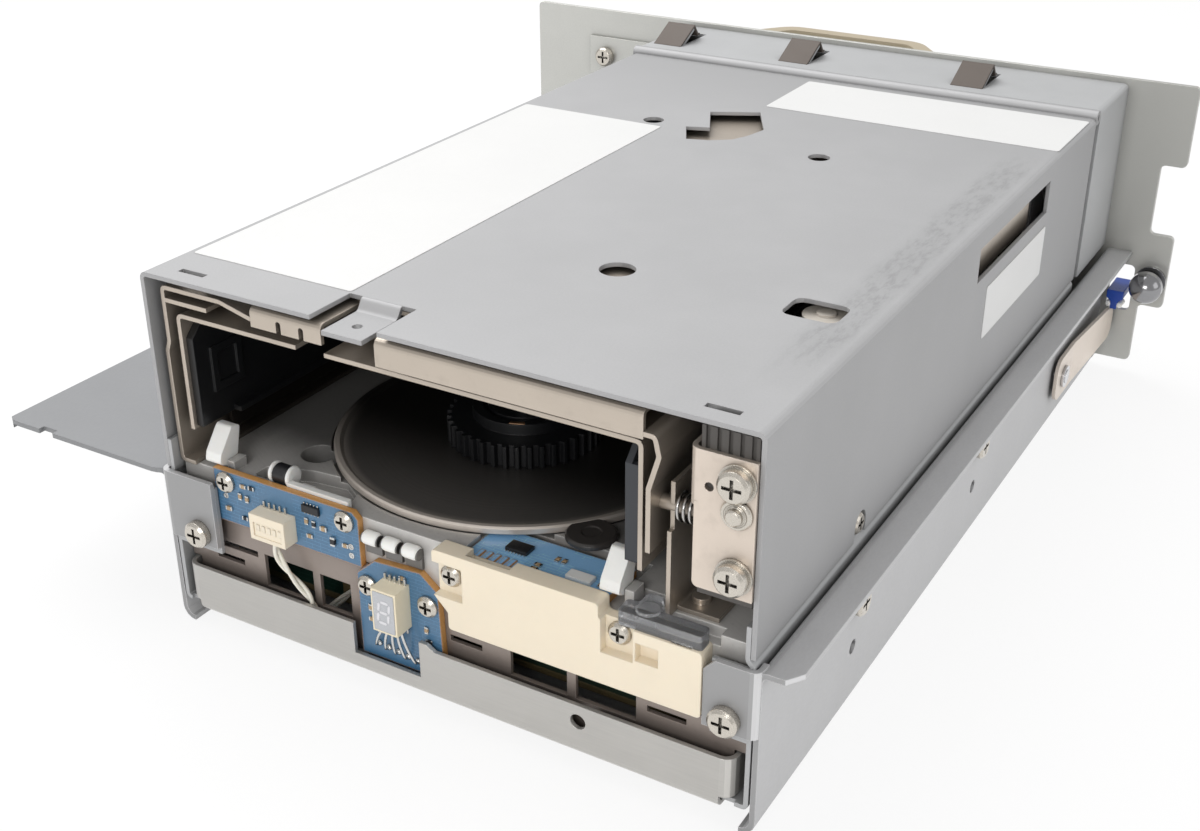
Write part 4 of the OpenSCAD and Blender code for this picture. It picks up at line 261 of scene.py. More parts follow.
def sheet_steel(name, paint, rough=0.48, metal=0.5, bright=1.22, grain=0.5, stretch=(1, 1, 1), scuffs=False,
                front=1.0, fade=None):
    """Plated sheet steel: fine grain, faint clouds and smudges, painted shade in its gaps, and painted
    highlights on its bends and cut edges.

    front is a painted shade on the faces that look forward. fade is (axis, from, to, share), a painted shade
    that changes the tone along an axis.
    """
    finish = Finish(name, Metallic=metal)
    edge = finish.soften(0.3)
    bend = finish.bend()
    clouds = finish.noise(38.0, 3.0)
    patches = finish.noise(7.0, 4.0, 0.6)
    fine = finish.noise(grain, 2.0, 0.6, stretch)
    tone = clouds * 0.4 + patches * 0.2 + fine * 0.4
    colour = finish.mix(finish.between(tone, 0.3, 0.7), shade(paint, 0.94), shade(paint, 1.05))
    roughness = rough + (patches - 0.5) * 0.1 + (fine - 0.5) * 0.12 - edge * 0.1
    if scuffs:
        # Rubbed band along the right edge of the cover's top
        band = finish.patch(0, 59.0, 63.5, 68.5, 71.5)
        length = finish.patch(1, -112.0, -80.0, 25.0, 55.0)
        streaks = finish.between(finish.noise(1.8, 5.0, 0.75, (1, 0.3, 1)), 0.42, 0.66)
        rub = band * length * (streaks * 0.7 + 0.3) * finish.between(finish.axis(2), 87.0, 88.2)
        colour = finish.mix(rub * 0.5, colour, shade(paint, 0.55))
    # Painted shade: the tone falls to a share of the paint along one axis
    if fade is not None:
        index, low, high, share = fade
        colour = finish.mix(finish.between(finish.axis(index), low, high), colour, shade(paint, share))
    # Painted shade on the faces that look forward
    if front != 1.0:
        colour = finish.mix(finish.between(finish.facing(1), 0.7, 0.95), colour, shade(paint, front))
    # Painted shade in gaps and creases
    colour = finish.mix(finish.open_air(4.0), shade(paint, 0.45), colour)
    # Painted highlights on cut edges and rounded bends
    colour = finish.mix(finish.sum("MAXIMUM", edge * 0.8, bend * 0.55), colour, shade(paint, bright))
    finish.relief(fine, 0.012)
    finish.relief(clouds, 0.12, 0.4)
    return finish.done(colour, roughness)


def drawn_steel(name, paint, rough=0.32, metal=0.7, line=(1, 0.06, 1), dim=None):
    """Nickel-plated steel with drawn lines and small stains, painted shade in its gaps and painted highlights
    on its edges.

    dim is (from, to), where the painted shade inside the drive begins and where it is full, from front to back.
    """
    finish = Finish(name, Metallic=metal)
    edge = finish.soften(0.25)
    lines = finish.noise(0.35, 2.0, 0.6, line)
    stains = finish.between(finish.noise(5.0, 5.0, 0.65), 0.52, 0.72)
    clouds = finish.noise(14.0, 3.0)
    colour = finish.mix(clouds, shade(paint, 0.92), shade(paint, 1.06))
    colour = finish.mix(stains * 0.22, colour, shade(paint, 0.7))
    # Painted shade in gaps
    colour = finish.mix(finish.open_air(5.0), shade(paint, 0.4), colour)
    # Painted highlights on the edges
    colour = finish.mix(edge * 0.75, colour, shade(paint, 1.3))
    # Painted shade that deepens into the drive
    if dim is not None:
        far = finish.between(finish.axis(1), *dim)
        colour = finish.mix(far * 0.93, colour, shade(paint, 0.08))
    finish.relief(lines, 0.01)
    return finish.done(colour, rough + (lines - 0.5) * 0.14 + stains * 0.06 - edge * 0.1)


def cast_metal(name, paint, rough=0.42):
    """Die-cast aluminium: grainy skin, milled marks on its top, flow marks, painted highlights on its edges,
    and painted shade in its gaps and at its far end.
    """
    finish = Finish(name, Metallic=0.3)
    edge = finish.soften(0.45)
    skin = finish.noise(0.6, 3.0, 0.7)
    flow = finish.noise(16.0, 4.0, 0.6, (1, 0.4, 1))
    milled = finish.noise(0.5, 2.0, 0.6, (0.08, 1, 1), 0.5) * finish.facing(2)
    pits = finish.between(finish.cells(1.7), 0.0, 0.28)
    colour = finish.mix(flow * 0.7 + milled * 0.3, shade(paint, 0.72), shade(paint, 1.15))
    colour = finish.mix((1 - pits) * 0.3, colour, shade(paint, 0.6))
    # Painted shade in gaps
    colour = finish.mix(finish.open_air(3.0), shade(paint, 0.5), colour)
    # Painted highlights on the edges
    colour = finish.mix(edge * 0.8, colour, shade(paint, 1.5))
    # Painted shade that deepens away from the mouth
    far = finish.between(finish.axis(1) + (flow - 0.5) * 14.0, -115.0, -96.0)
    colour = finish.mix(far * 0.86, colour, shade(paint, 0.12))
    finish.relief(skin, 0.03)
    finish.relief(milled, 0.02, 0.6)
    return finish.done(colour, rough + (skin - 0.5) * 0.2 - edge * 0.12)


def turned_metal(name, paint, centre=None, rough=0.22, metal=1.0, pitch=0.35, contrast=0.12, gap=2.0, dark=0.5,
                 rim=None):
    """Turned or plated metal: fine rings about a centre, painted shade in its recesses and painted highlights
    on its edges.

    rim is the outer radius of a disc that gets painted shade at the back and a painted highlight on its rim at
    the front.
    """
    finish = Finish(name, Metallic=metal)
    edge = finish.soften(0.2)
    wear = finish.noise(1.6, 4.0, 0.65)
    if centre is None:
        rings = finish.noise(0.3, 2.0, 0.6)
    else:
        away = finish.vector("SUBTRACT", finish.place, centre)[0]
        flat = finish.vector("MULTIPLY", away, (1, 1, 0))[0]
        reach = Term(finish, finish.vector("LENGTH", flat)["Value"])
        spread = finish.node("ShaderNodeCombineXYZ", {}, {0: reach}).outputs[0]
        rings = finish.term("ShaderNodeTexNoise", {}, {"Vector": spread, "Scale": 1 / pitch, "Detail": 3.0})
    colour = finish.mix(rings, shade(paint, 1 - contrast), shade(paint, 1 + contrast))
    colour = finish.mix(finish.between(wear, 0.55, 0.8) * 0.3, colour, shade(paint, 0.7))
    # Painted shade in recesses
    colour = finish.mix(finish.between(finish.open_air(gap), 0.25, 0.85), shade(paint, dark), colour)
    # Painted highlights on the edges
    colour = finish.mix(edge * 0.5, colour, shade(paint, 1.3))
    if rim is not None:
        outer = finish.between(reach, rim - 4.5, rim - 0.4)
        front = 1 - finish.between(finish.axis(1), -114.0, -78.0)
        # Painted shade over the back of the disc
        colour = finish.mix(1 - front, colour, shade(paint, 0.1))
        # Painted highlight on the disc's rim at the front
        colour = finish.mix(outer * front * (0.75 + rings * 0.3), colour, ink(232, 222, 212))
    finish.relief(rings, 0.012)
    return finish.done(colour, rough + (rings - 0.5) * 0.12 + (wear - 0.5) * 0.12)


def moulding(name, paint, rough=0.45, texture=0.35, depth=0.02, soft=0.35, wax=0.0, dirt=0.12):
    """Moulded plastic: fine texture, soft edges with a painted highlight, and a little dirt in patches."""
    glow = {"Subsurface Weight": wax, "Subsurface Radius": (1.0, 0.8, 0.6), "Subsurface Scale": 0.001}
    finish = Finish(name, **glow)
    edge = finish.soften(soft)
    fine = finish.noise(texture, 2.0, 0.6)
    patches = finish.noise(9.0, 4.0, 0.6)
    specks = finish.between(finish.noise(0.9, 2.0, 0.5), 0.68, 0.76)
    colour = finish.mix(patches, shade(paint, 0.95), shade(paint, 1.04))
    colour = finish.mix(specks * dirt, colour, shade(paint, 0.55))
    # Painted highlights on the edges
    colour = finish.mix(edge * 0.35, colour, shade(paint, 1.12))
    finish.relief(fine, depth)
    return finish.done(colour, rough + (patches - 0.5) * 0.12 + (fine - 0.5) * 0.1 - edge * 0.06)


def display_body(name, paint, metal_colour, low, high):
    """Moulded display block between two heights, with bright tinned pins above and below it."""
    finish = Finish(name)
    edge = finish.soften(0.3)
    fine = finish.noise(0.4, 2.0, 0.6)
    patches = finish.noise(3.0, 3.0)
    pins = finish.sum("MAXIMUM", finish.between(finish.axis(2), high, high + 0.05),
                      1 - finish.between(finish.axis(2), low - 0.05, low))
    colour = finish.mix(patches, shade(paint, 0.94), shade(paint, 1.04))
    # Painted highlights on the edges
    colour = finish.mix(edge * 0.4, colour, shade(paint, 1.12))
    colour = finish.mix(pins, colour, finish.mix(fine, shade(metal_colour, 0.8), metal_colour))
    finish.relief(fine, 0.012)
    return finish.done(colour, 0.4 + (patches - 0.5) * 0.1 - pins * 0.18, Metallic=pins * 0.9)


def circuit(name, mask, face, pitch=0.9, low_rim=(176, 120, 60), high_rim=(224, 172, 104)):
    """Lacquered circuit board: tracks and pads under the lacquer, bare amber rim and edges."""
    finish = Finish(name, **{"Coat Weight": 0.35, "Coat Roughness": 0.12})
    edge = finish.soften(0.55)
    axes = {0: (0.001, 1, 1), 1: (1, 0.001, 1), 2: (1, 1, 0.001)}[face]
    lanes = finish.cells(pitch * 3.2, "F1", "Color", axes)
    upright = (math.pi / 2 if face == 1 else 0, 0, 0)
    laid = finish.node("ShaderNodeMapping", {}, {"Vector": finish.place, "Rotation": upright})
    settings = {"offset": 0.37, "squash": 0.6, "squash_frequency": 3}
    values = {
        "Vector": laid.outputs[0],
        "Color1": (1, 1, 1, 1),
        "Color2": (0.7, 0.7, 0.7, 1),
        "Mortar": (0, 0, 0, 1),
        "Scale": 1.0 / pitch,
        "Mortar Size": 0.05,
        "Brick Width": 4.3,
        "Row Height": 1.0,
    }
    copper = finish.between(finish.term("ShaderNodeTexBrick", settings, values, "Fac"), 0.3, 0.7)
    regions = finish.between(finish.noise(6.0, 1.0), 0.46, 0.5)
    glass = finish.noise(0.5, 2.0, 0.6, (1, 3, 1))
    colour = finish.mix(glass, shade(mask, 0.85), shade(mask, 1.12))
    colour = finish.mix(copper * regions * 0.75, colour, shade(mask, 1.9))
    colour = finish.mix(lanes * 0.12, colour, shade(mask, 0.6))
    rim = finish.between(edge, 0.02, 0.12)
    amber = finish.mix(glass, ink(*low_rim), ink(*high_rim))
    side = 1 - finish.between(finish.facing(face), 0.4, 0.6)
    colour = finish.mix(finish.sum("MAXIMUM", rim, side), colour, amber)
    finish.relief(copper * regions, 0.03)
    return finish.done(colour, 0.34 + (glass - 0.5) * 0.1 + side * 0.3)


def clear_plastic(name, paint):
    """Clear moulding with a slight smoke, which shows what lies below it, with painted highlights on its edges
    and ripples.
    """
    finish = Finish(name, **{"Transmission Weight": 0.85, "IOR": 1.45})
    edge = finish.soften(0.3)
    ripples = finish.noise(3.0, 3.0)
    # Painted highlights on the edges and ripples
    colour = finish.mix(edge * 0.5 + ripples * 0.2, paint, ink(245, 246, 248))
    finish.relief(ripples, 0.05)
    return finish.done(colour, 0.08 + ripples * 0.1)


def paper(name, paint):
    """Blank printed-label stock: smooth face with faint fibres and slightly soiled rims."""
    finish = Finish(name, **{"Coat Weight": 0.15, "Coat Roughness": 0.3})
    edge = finish.soften(0.3)
    fibres = finish.noise(0.8, 4.0, 0.7, (1, 0.3, 1))
    patches = finish.noise(20.0, 3.0)
    colour = finish.mix(fibres * 0.5 + patches * 0.5, shade(paint, 0.95), shade(paint, 1.03))
    colour = finish.mix(edge * 0.5, colour, shade(paint, 0.8))
    finish.relief(fibres, 0.006)
    return finish.done(colour, 0.42 + (fibres - 0.5) * 0.1)


def finishes():
    """Every finish of the drive, made once."""
    along, upright = (0.06, 1, 1), (1, 1, 0.06)
    left, right = span("reel_disc")[:2]
    return {
        # The cover's fade is painted shade towards its back
        "cover": sheet_steel("cover_steel", ink(170, 170, 171), rough=0.6, metal=0.25, bright=1.3, scuffs=True,
                             fade=(1, 30.0, 88.0, 0.9)),
        "hood": sheet_steel("hood_steel", ink(180, 181, 182), rough=0.55, metal=0.3),
        # The sled's front share is painted shade on its forward faces
        "sled": sheet_steel("sled_steel", ink(196, 196, 197), rough=0.46, metal=0.35, stretch=(1, 0.3, 1),
                            bright=1.5, front=0.62),
        "wing": sheet_steel("wing_steel", ink(140, 141, 143), rough=0.6, metal=0.15, stretch=(1, 0.3, 1)),
        # The back plate's fade is painted shade towards its right
        "plate": sheet_steel("plate_steel", ink(210, 210, 205), rough=0.42, metal=0.6,
                             fade=(0, 40.0, 84.0, 0.78)),
        "lip": sheet_steel("lip_steel", ink(188, 186, 182), rough=0.42, stretch=(0.05, 1, 1), grain=0.4,
                           bright=1.45),
        "latch": drawn_steel("latch_steel", ink(234, 222, 210), rough=0.38, metal=0.4),
        "loader": drawn_steel("loader_steel", ink(196, 185, 172), line=along),
        # The bay's and the slide's dim is painted shade deeper inside the drive
        "bay": drawn_steel("bay_steel", ink(196, 185, 172), line=along, dim=(-119.0, -100.0)),
        "slide": drawn_steel("slide_steel", ink(120, 112, 104), line=along, dim=(-124.0, -104.0)),
        "bracket": drawn_steel("bracket_steel", ink(222, 209, 196), rough=0.36, line=upright),
        # Cream steel painted darker, as painted shade under the sensor board
        "front_plate": drawn_steel("front_steel", ink(150, 139, 132), rough=0.4, metal=0.3, line=along),
        "deck": cast_metal("cast_aluminium", ink(214, 212, 209)),
        "nickel": turned_metal("bright_nickel", ink(214, 214, 216)),
        "screw": turned_metal("screw_nickel", ink(208, 202, 192), rough=0.26, metal=0.9, gap=1.6, dark=0.12),
        "motor": turned_metal("motor_steel", ink(150, 150, 152), rough=0.35),
        "brass": turned_metal("turned_brass", ink(206, 160, 110), rough=0.25),
        "pin": turned_metal("polished_pin", ink(150, 150, 152), rough=0.16),
        "magnet": turned_metal("magnet_plate", ink(214, 170, 134), rough=0.3, gap=0.5, dark=0.6),
        "finger": turned_metal("contact_steel", ink(120, 118, 116), rough=0.34, metal=0.8),
        # The disc's rim gives painted shade at its back and a painted highlight on its front rim
        "disc": turned_metal("dark_disc", ink(112, 109, 106), HUB_CENTRE, 0.34, 0.45, 0.6, 0.22, 16.0, 0.1,
                             rim=(right - left) / 2),
        "black": moulding("black_plastic", ink(34, 34, 36), 0.4),
        # Dark plastic made darker still: painted shade on the left guide and the chuck ring deep in the bay
        "shadow": moulding("dark_plastic_in_shade", ink(19, 20, 22), 0.42),
        "smoke": moulding("smoked_plastic", ink(62, 59, 57), 0.16),
        "guide": moulding("guide_plastic", ink(50, 53, 58), 0.42),
        "block": moulding("block_plastic", ink(76, 73, 70), 0.5),
        "white": moulding("white_plastic", ink(238, 238, 235), 0.36, wax=0.1, dirt=0.08),
        "gear": moulding("gear_resin", ink(206, 199, 189), 0.4, wax=0.05, dirt=0.08),
        "cream": moulding("cream_plastic", ink(238, 226, 204), 0.42, wax=0.1, dirt=0.1),
        "handle": moulding("handle_plastic", ink(176, 164, 141), 0.5, texture=0.6, depth=0.03),
        "blue": moulding("blue_plastic", ink(24, 66, 158), 0.3),
        "clear": clear_plastic("clear_plastic", ink(236, 237, 240)),
        "sensor": circuit("sensor_circuit", ink(72, 114, 148), 1),
        "memory": circuit("memory_circuit", ink(146, 198, 244), 2),
        "main": circuit("main_circuit", ink(34, 62, 52), 2, 1.4, (74, 64, 40), (104, 92, 60)),
        "digit": display_body("display_resin", ink(240, 228, 200), ink(216, 216, 214),
                              TOP_COVER / MM - DIGIT_BOTTOM, TOP_COVER / MM - DIGIT_TOP),
        "wire": moulding("wire_sleeve", ink(232, 228, 216), 0.4, wax=0.1),
        "spring": turned_metal("spring_wire", ink(190, 188, 186), rough=0.22, gap=1.0, dark=0.2),
        "label": paper("label_stock", ink(224, 224, 223)),
        "clip": sheet_steel("clip_steel", ink(78, 70, 64), rough=0.55, metal=0.2, bright=1.5),
        "chip": moulding("chip_resin", ink(30, 31, 34), 0.4),
        "solder": turned_metal("solder", ink(214, 214, 212), rough=0.25, gap=0.6, dark=0.4),
        "tan": moulding("tan_ceramic", ink(178, 152, 118), 0.4),
        "digit_face": moulding("digit_face", ink(186, 188, 192), 0.25, dirt=0.0),
        "digit_bar": moulding("digit_bar", ink(222, 222, 226), 0.3, dirt=0.0),
    }


# The parts of the frame that take each finish
NODE_FINISHES = {
    "cover": ["top_cover"],
    "hood": ["rear_hood", "base_frame"],
    "sled": ["sled_tray"],
    "wing": ["left_wing"],
    "plate": ["back_plate", "plate_bracket"],
    "lip": ["front_lip"],
    "latch": ["latch_lever"],
    "loader": ["loader_top", "threader_plate", "side_bracket"],
    "slide": ["loader_slide"],
    "bay": ["loader_left_wall", "loader_right_wall", "cartridge_cage"],
    "bracket": ["screw_bracket"],
    "front_plate": ["front_plate"],
    "deck": ["deck_casting", "head_base"],
    "pin": ["guide_pin"],
    "nickel": ["rivets", "guide_posts", "threader_arm"],
    "finger": ["contact_fingers"],
    "screw": ["large_screws", "small_screws"],
    "motor": ["reel_rotor", "reel_motors", "loader_motor", "head_block"],
    "brass": ["motor_pinion"],
    "disc": ["reel_disc"],
    "black": ["takeup_reel", "port_block", "fan_housing", "fan_rotor"],
    "shadow": ["left_guide", "chuck_ring"],
    "guide": ["right_guide"],
    "block": ["guide_block"],
    "white": ["left_lever", "right_lever", "roller_1", "roller_2", "roller_3", "roller_4"],
    "gear": ["loader_gear"],
    "cream": ["front_bracket", "board_connector"],
    "digit": ["digit_block"],
    "handle": ["rear_handle"],
    "blue": ["latch_tab"],
    "clear": ["light_guide"],
    "sensor": ["sensor_board", "display_board"],
    "memory": ["memory_board"],
    "main": ["main_board"],
}


def made(name):
    """A finish by its name, made on first use."""
    if not made.all:
        made.all.update(finishes())
    return made.all[name]


made.all = {}


def from_bmesh(name, grid, smooth=False):
    """An object from a finished bmesh."""
    bmesh.ops.recalc_face_normals(grid, faces=grid.faces)
    mesh = bpy.data.meshes.new(name)
    grid.to_mesh(mesh)
    grid.free()
    if smooth:
        mesh.shade_smooth()
    made_object = bpy.data.objects.new(name, mesh)
    bpy.context.scene.collection.objects.link(made_object)
    return made_object


def piece(name, grid, finish, smooth=False, body="drive"):
    """A piece from a finished bmesh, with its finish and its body."""
    made_object = from_bmesh(name, grid, smooth)
    made_object.data.materials.append(made(finish))
    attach(made_object, body)
    return made_object


def prism(grid, outline, low, high, place):
    """Adds a closed prism on an outline of pairs, from low to high. place turns (a, b, height) into a point."""
    bottom = [grid.verts.new(place(a, b, low)) for a, b in outline]
    top = [grid.verts.new(place(a, b, high)) for a, b in outline]
    count = len(outline)
    grid.faces.new(bottom)
    grid.faces.new(top)
    for i in range(count):
        grid.faces.new([bottom[i], bottom[(i + 1) % count], top[(i + 1) % count], top[i]])


def bevel_sharp(grid, width, segments=2):
    """Rounds every sharp edge of a bmesh."""
    bmesh.ops.recalc_face_normals(grid, faces=grid.faces)
    sharp = [e for e in grid.edges if len(e.link_faces) == 2 and e.calc_face_angle() > 0.5]
    bmesh.ops.bevel(grid, geom=sharp, offset=width, segments=segments, affect="EDGES", profile=0.6)


def rounded(corners, radius, steps=5):
    """A rectangle's outline with round corners, from (x0, y0, x1, y1)."""
    x0, y0, x1, y1 = corners
    centres = [(x1 - radius, y0 + radius, -90), (x1 - radius, y1 - radius, 0),
               (x0 + radius, y1 - radius, 90), (x0 + radius, y0 + radius, 180)]
    return [
        (cx + radius * math.cos(math.radians(start + 90 * k / steps)),
         cy + radius * math.sin(math.radians(start + 90 * k / steps)))
        for cx, cy, start in centres
        for k in range(steps + 1)
    ]


def ring_of(grid, centre, across, other, radius, sides):
    """Adds a ring of points about a centre."""
    ring = []
    for k in range(sides):
        angle = math.tau * k / sides
        outward = across * math.cos(angle) + other * math.sin(angle)
        ring.append(grid.verts.new(centre + outward * radius * MM))
    return ring


def lathe(grid, profile, centre, axis, sides=28):
    """Adds a turned form: profile pairs of radius and height, along an axis from a centre, in millimetres."""
    direction = Vector(axis).normalized()
    across = direction.orthogonal().normalized()
    other = direction.cross(across)
    rings = []
    for radius, height in profile:
        place = centre + direction * height * MM
        if radius < 1e-6:
            rings.append([grid.verts.new(place)])
        else:
            rings.append(ring_of(grid, place, across, other, radius, sides))
    for low, high in zip(rings, rings[1:]):
        for k in range(sides):
            n = (k + 1) % sides
            if len(low) == 1 and len(high) > 1:
                grid.faces.new([low[0], high[k], high[n]])
            elif len(high) == 1 and len(low) > 1:
                grid.faces.new([low[k], low[n], high[0]])
            elif len(low) > 1:
                grid.faces.new([low[k], low[n], high[n], high[k]])
    for ring in (rings[0], rings[-1]):
        if len(ring) > 1:
            grid.faces.new(ring)


def swept(grid, points, radius, sides=10):
    """Adds a closed tube along points in metres, with a radius in millimetres."""
    previous = None
    rings = []
    for i, point in enumerate(points):
        ahead = (points[min(i + 1, len(points) - 1)] - points[max(i - 1, 0)]).normalized()
        if previous is None:
            across = ahead.orthogonal().normalized()
        else:
            across = (previous - ahead * previous.dot(ahead)).normalized()
        previous = across
        other = ahead.cross(across)
        rings.append(ring_of(grid, point, across, other, radius, sides))
    for low, high in zip(rings, rings[1:]):
        for k in range(sides):
            n = (k + 1) % sides
            grid.faces.new([low[k], low[n], high[n], high[k]])
    grid.faces.new(rings[0])
    grid.faces.new(rings[-1])


def through(points, steps=6):
    """A smooth line through points."""
    line = []
    last = len(points) - 1
    for i in range(last):
        p0, p1, p2, p3 = (points[max(i - 1, 0)], points[i], points[i + 1], points[min(i + 2, last)])
        for k in range(steps):
            t = k / steps
            line.append(0.5 * ((2 * p1) + (p2 - p0) * t + (2 * p0 - 5 * p1 + 4 * p2 - p3) * t * t
                               + (3 * p1 - p0 - 3 * p2 + p3) * t ** 3))
    line.append(points[-1].copy())
    return line


def number(name, description, default):
    """A number of a property group."""
    return bpy.props.FloatProperty(name=name, description=description, default=default)


class DriveSizes(bpy.types.PropertyGroup):
    """Sizes of the small pieces."""

    wire_radius: number("Wire radius", "Radius of one lead of the sensor cable, in millimetres", 0.48)
    label_thickness: number("Label thickness", "Thickness of a label, in millimetres", 0.12)
    spring_wire: number("Spring wire radius", "Radius of the pressure spring's wire, in millimetres", 0.35)
    clip_thickness: number("Clip thickness", "Thickness of the hood's spring clips, in millimetres", 0.4)


class DriveStudio(bpy.types.PropertyGroup):
    """Light and floor of the studio."""

    floor_colour: bpy.props.FloatVectorProperty(
        name="Floor colour", description="Colour of the floor",
        subtype="COLOR", size=4, default=(0.94, 0.94, 0.94, 1))
    world_level: number("World level", "Strength of the light from all round", 0.6)
    key_power: number("Key power", "Power of the main lamp", 9.0)


class DRIVE_OT_finishes(bpy.types.Operator):
    """Gives each part of the frame its finish"""

    bl_idname = "drive.finishes"
    bl_label = "Frame finishes"

    def execute(self, context):
        for finish, nodes in NODE_FINISHES.items():
            for node in nodes:
                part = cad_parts[node]
                part.data.materials.clear()
                part.data.materials.append(made(finish))
        return {"FINISHED"}


# Route of the sensor cable, as in the part: right, back and depth
CABLE_ROUTE = [
    (-42.4, -0.6, 56.8), (-42.3, -0.6, 59), (-41.6, -0.5, 61.5), (-40.2, -0.2, 64), (-38.6, 0.4, 66.5),
    (-37, 1.1, 69), (-35.8, 1.6, 71.2), (-35.2, 1.75, 73), (-34.9, 1.9, 74.6), (-34.8, 2.5, 75.9),
    (-34.8, 3.6, 76.5), (-34.8, 6, 76.5), (-34.8, 10, 76.5), (-34.8, 15, 76.5),
]


class DRIVE_OT_cable(bpy.types.Operator):
    """Makes the sensor cable as two twisted leads"""

    bl_idname = "drive.cable"
    bl_label = "Sensor cable"

    def execute(self, context):
        radius = context.scene.drive_sizes.wire_radius
        middle = through([at(*p) for p in CABLE_ROUTE])
        grid = bmesh.new()
        turns = 2.2
        for side in (0, 1):
            line = []
            for i, point in enumerate(middle):
                ahead = (middle[min(i + 1, len(middle) - 1)] - middle[max(i - 1, 0)]).normalized()
                across = ahead.cross(Vector((0.2, 1, 0.1))).normalized()
                other = ahead.cross(across)
                angle = math.pi * side + math.tau * turns * i / len(middle)
                line.append(point + (across * math.cos(angle) + other * math.sin(angle)) * radius * MM)
            swept(grid, line, radius)
        cable = piece("sensor_leads", grid, "wire", True)
        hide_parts("sensor_cable")
        length = sum((b - a).length for a, b in zip(middle, middle[1:]))
        return {"FINISHED"}


class DRIVE_OT_spring(bpy.types.Operator):
    """Winds the pressure spring"""

    bl_idname = "drive.spring"
    bl_label = "Pressure spring"

    def execute(self, context):
        wire = context.scene.drive_sizes.spring_wire
        x0, x1, curls, radius = 53.5 + wire + 0.15, 59.6 - wire - 0.15, 4, 2.7
        back, depth = 5.6, 22.4
        points = []
        per_turn = 28
        for i in range(curls * per_turn + 1):
            share = i / (curls * per_turn)
            angle = math.tau * curls * share
            x = x0 + (x1 - x0) * share
            points.append(at(x, back + radius * math.cos(angle), depth - radius * math.sin(angle)))
        grid = bmesh.new()
        swept(grid, points, wire, 12)
        spring = piece("pressure_coil", grid, "spring", True)
        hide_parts("pressure_spring")
        return {"FINISHED"}


class DRIVE_OT_labels(bpy.types.Operator):
    """Lays the blank labels on the cover"""

    bl_idname = "drive.labels"
    bl_label = "Labels"

    def execute(self, context):
        lift = context.scene.drive_sizes.label_thickness
        corner_radius = 0.8
        cover_side = 73

        def on_side(a, b, h):
            return at(cover_side + h, a, b)

        for name, corners, place in (
            ("top_label", (-70.5, 13.5, -27, 147), on_top(0)),
            ("rear_label", (-11, 179, 72, 209.5), on_top(0)),
            ("side_label", (123.5, 17.5, 171.5, 31), on_side),
        ):
            grid = bmesh.new()
            prism(grid, rounded(corners, corner_radius), 0, lift, place)
            piece(name, grid, "label")
        return {"FINISHED"}


class DRIVE_OT_clips(bpy.types.Operator):
    """Folds the dark spring clips over the hood's lances"""

    bl_idname = "drive.clips"
    bl_label = "Hood clips"

    def execute(self, context):
        thick = context.scene.drive_sizes.clip_thickness
        half_width = 4.8
        # Depth of the clips' front ends, below zero because they are above the cover
        rise = -1.5
        for index, x in enumerate((-65.5, -22, 32.8)):
            outline = [(221.6, rise), (222.4, rise - thick), (231.6, -6.5), (234.2, -3.2), (235.2, -3.2),
                       (235.2, -2.6), (233.8, -2.5), (231.3, -5.7), (224, -2.1), (222.6, rise)]
            grid = bmesh.new()
            prism(grid, outline, x - half_width, x + half_width, lambda a, b, h: at(h, a, b))
            bevel_sharp(grid, 0.08 * MM)
            piece(f"hood_clip_{index + 1}", grid, "clip")
        return {"FINISHED"}


def box_outline(a, b, w, h):
    """A rectangle's outline from its first corner, its width and its height."""
    return [(a, b), (a + w, b), (a + w, b + h), (a, b + h)]


def chip_part(grids, place, a, b, w, h, thick, body):
    """A chip resistor or capacitor: a body between two tinned ends, which stand out a little round it."""
    ends, out = 0.24, 0.03
    if w >= h:
        middle = box_outline(a + w * ends, b, w * (1 - 2 * ends), h)
        caps = [box_outline(x, b - out, w * ends, h + 2 * out) for x in (a, a + w * (1 - ends))]
    else:
        middle = box_outline(a, b + h * ends, w, h * (1 - 2 * ends))
        caps = [box_outline(a - out, y, w + 2 * out, h * ends) for y in (b, b + h * (1 - ends))]
    prism(grids[body], middle, 0, thick, place)
    for cap in caps:
        prism(grids["solder"], cap, 0, thick * 0.92, place)


def leaded_part(grids, place, a, b, w, h, thick, legs):
    """A moulded circuit with a row of legs on two sides."""
    prism(grids["chip"], box_outline(a, b, w, h), 0.08, thick, place)
    step, reach = w / legs, 0.5
    for i in range(legs):
        for side in (b - reach, b + h):
            leg = box_outline(a + (i + 0.3) * step, side, step * 0.4, reach)
            prism(grids["solder"], leg, 0, thick * 0.45, place)


# Chip parts of the two upright boards, then of the flat one: their width, height, thickness and
# finish, and the first corner of each
FRONT_PARTS = (
    (1.7, 0.9, 0.5, "tan", ((-52.6, 46.6), (-24.6, 53.0), (-34.4, 53.6), (-18.8, 69.8),
                            (-16.6, 72.0), (-3.4, 73.0), (-9.8, 56.4))),
    (1.7, 0.9, 0.5, "chip", ((-50.2, 46.4), (-53.0, 54.8), (-3.6, 70.4))),
    (0.9, 1.7, 0.5, "tan", ((-53.4, 49.0), (-51.4, 49.2), (-34.6, 49.6), (-18.6, 66.4), (-3.8, 67.2))),
    (0.9, 1.7, 0.5, "chip", ((-32.6, 49.8), (-16.8, 66.6))),
    (1.9, 1.0, 0.6, "tan", ((-57.6, 53.4),)),
    (1.9, 1.1, 0.6, "tan", ((-30.4, 50.4),)),
    (1.2, 2.2, 0.8, "chip", ((-27.6, 52.2),)),
)
MEMORY_PARTS = (
    (1.7, 0.9, 0.5, "tan", ((20.6, 5.0), (20.6, 6.6))),
    (0.9, 1.7, 0.5, "tan", ((23.4, 9.8), (25.0, 9.8), (35.6, 6.2))),
)


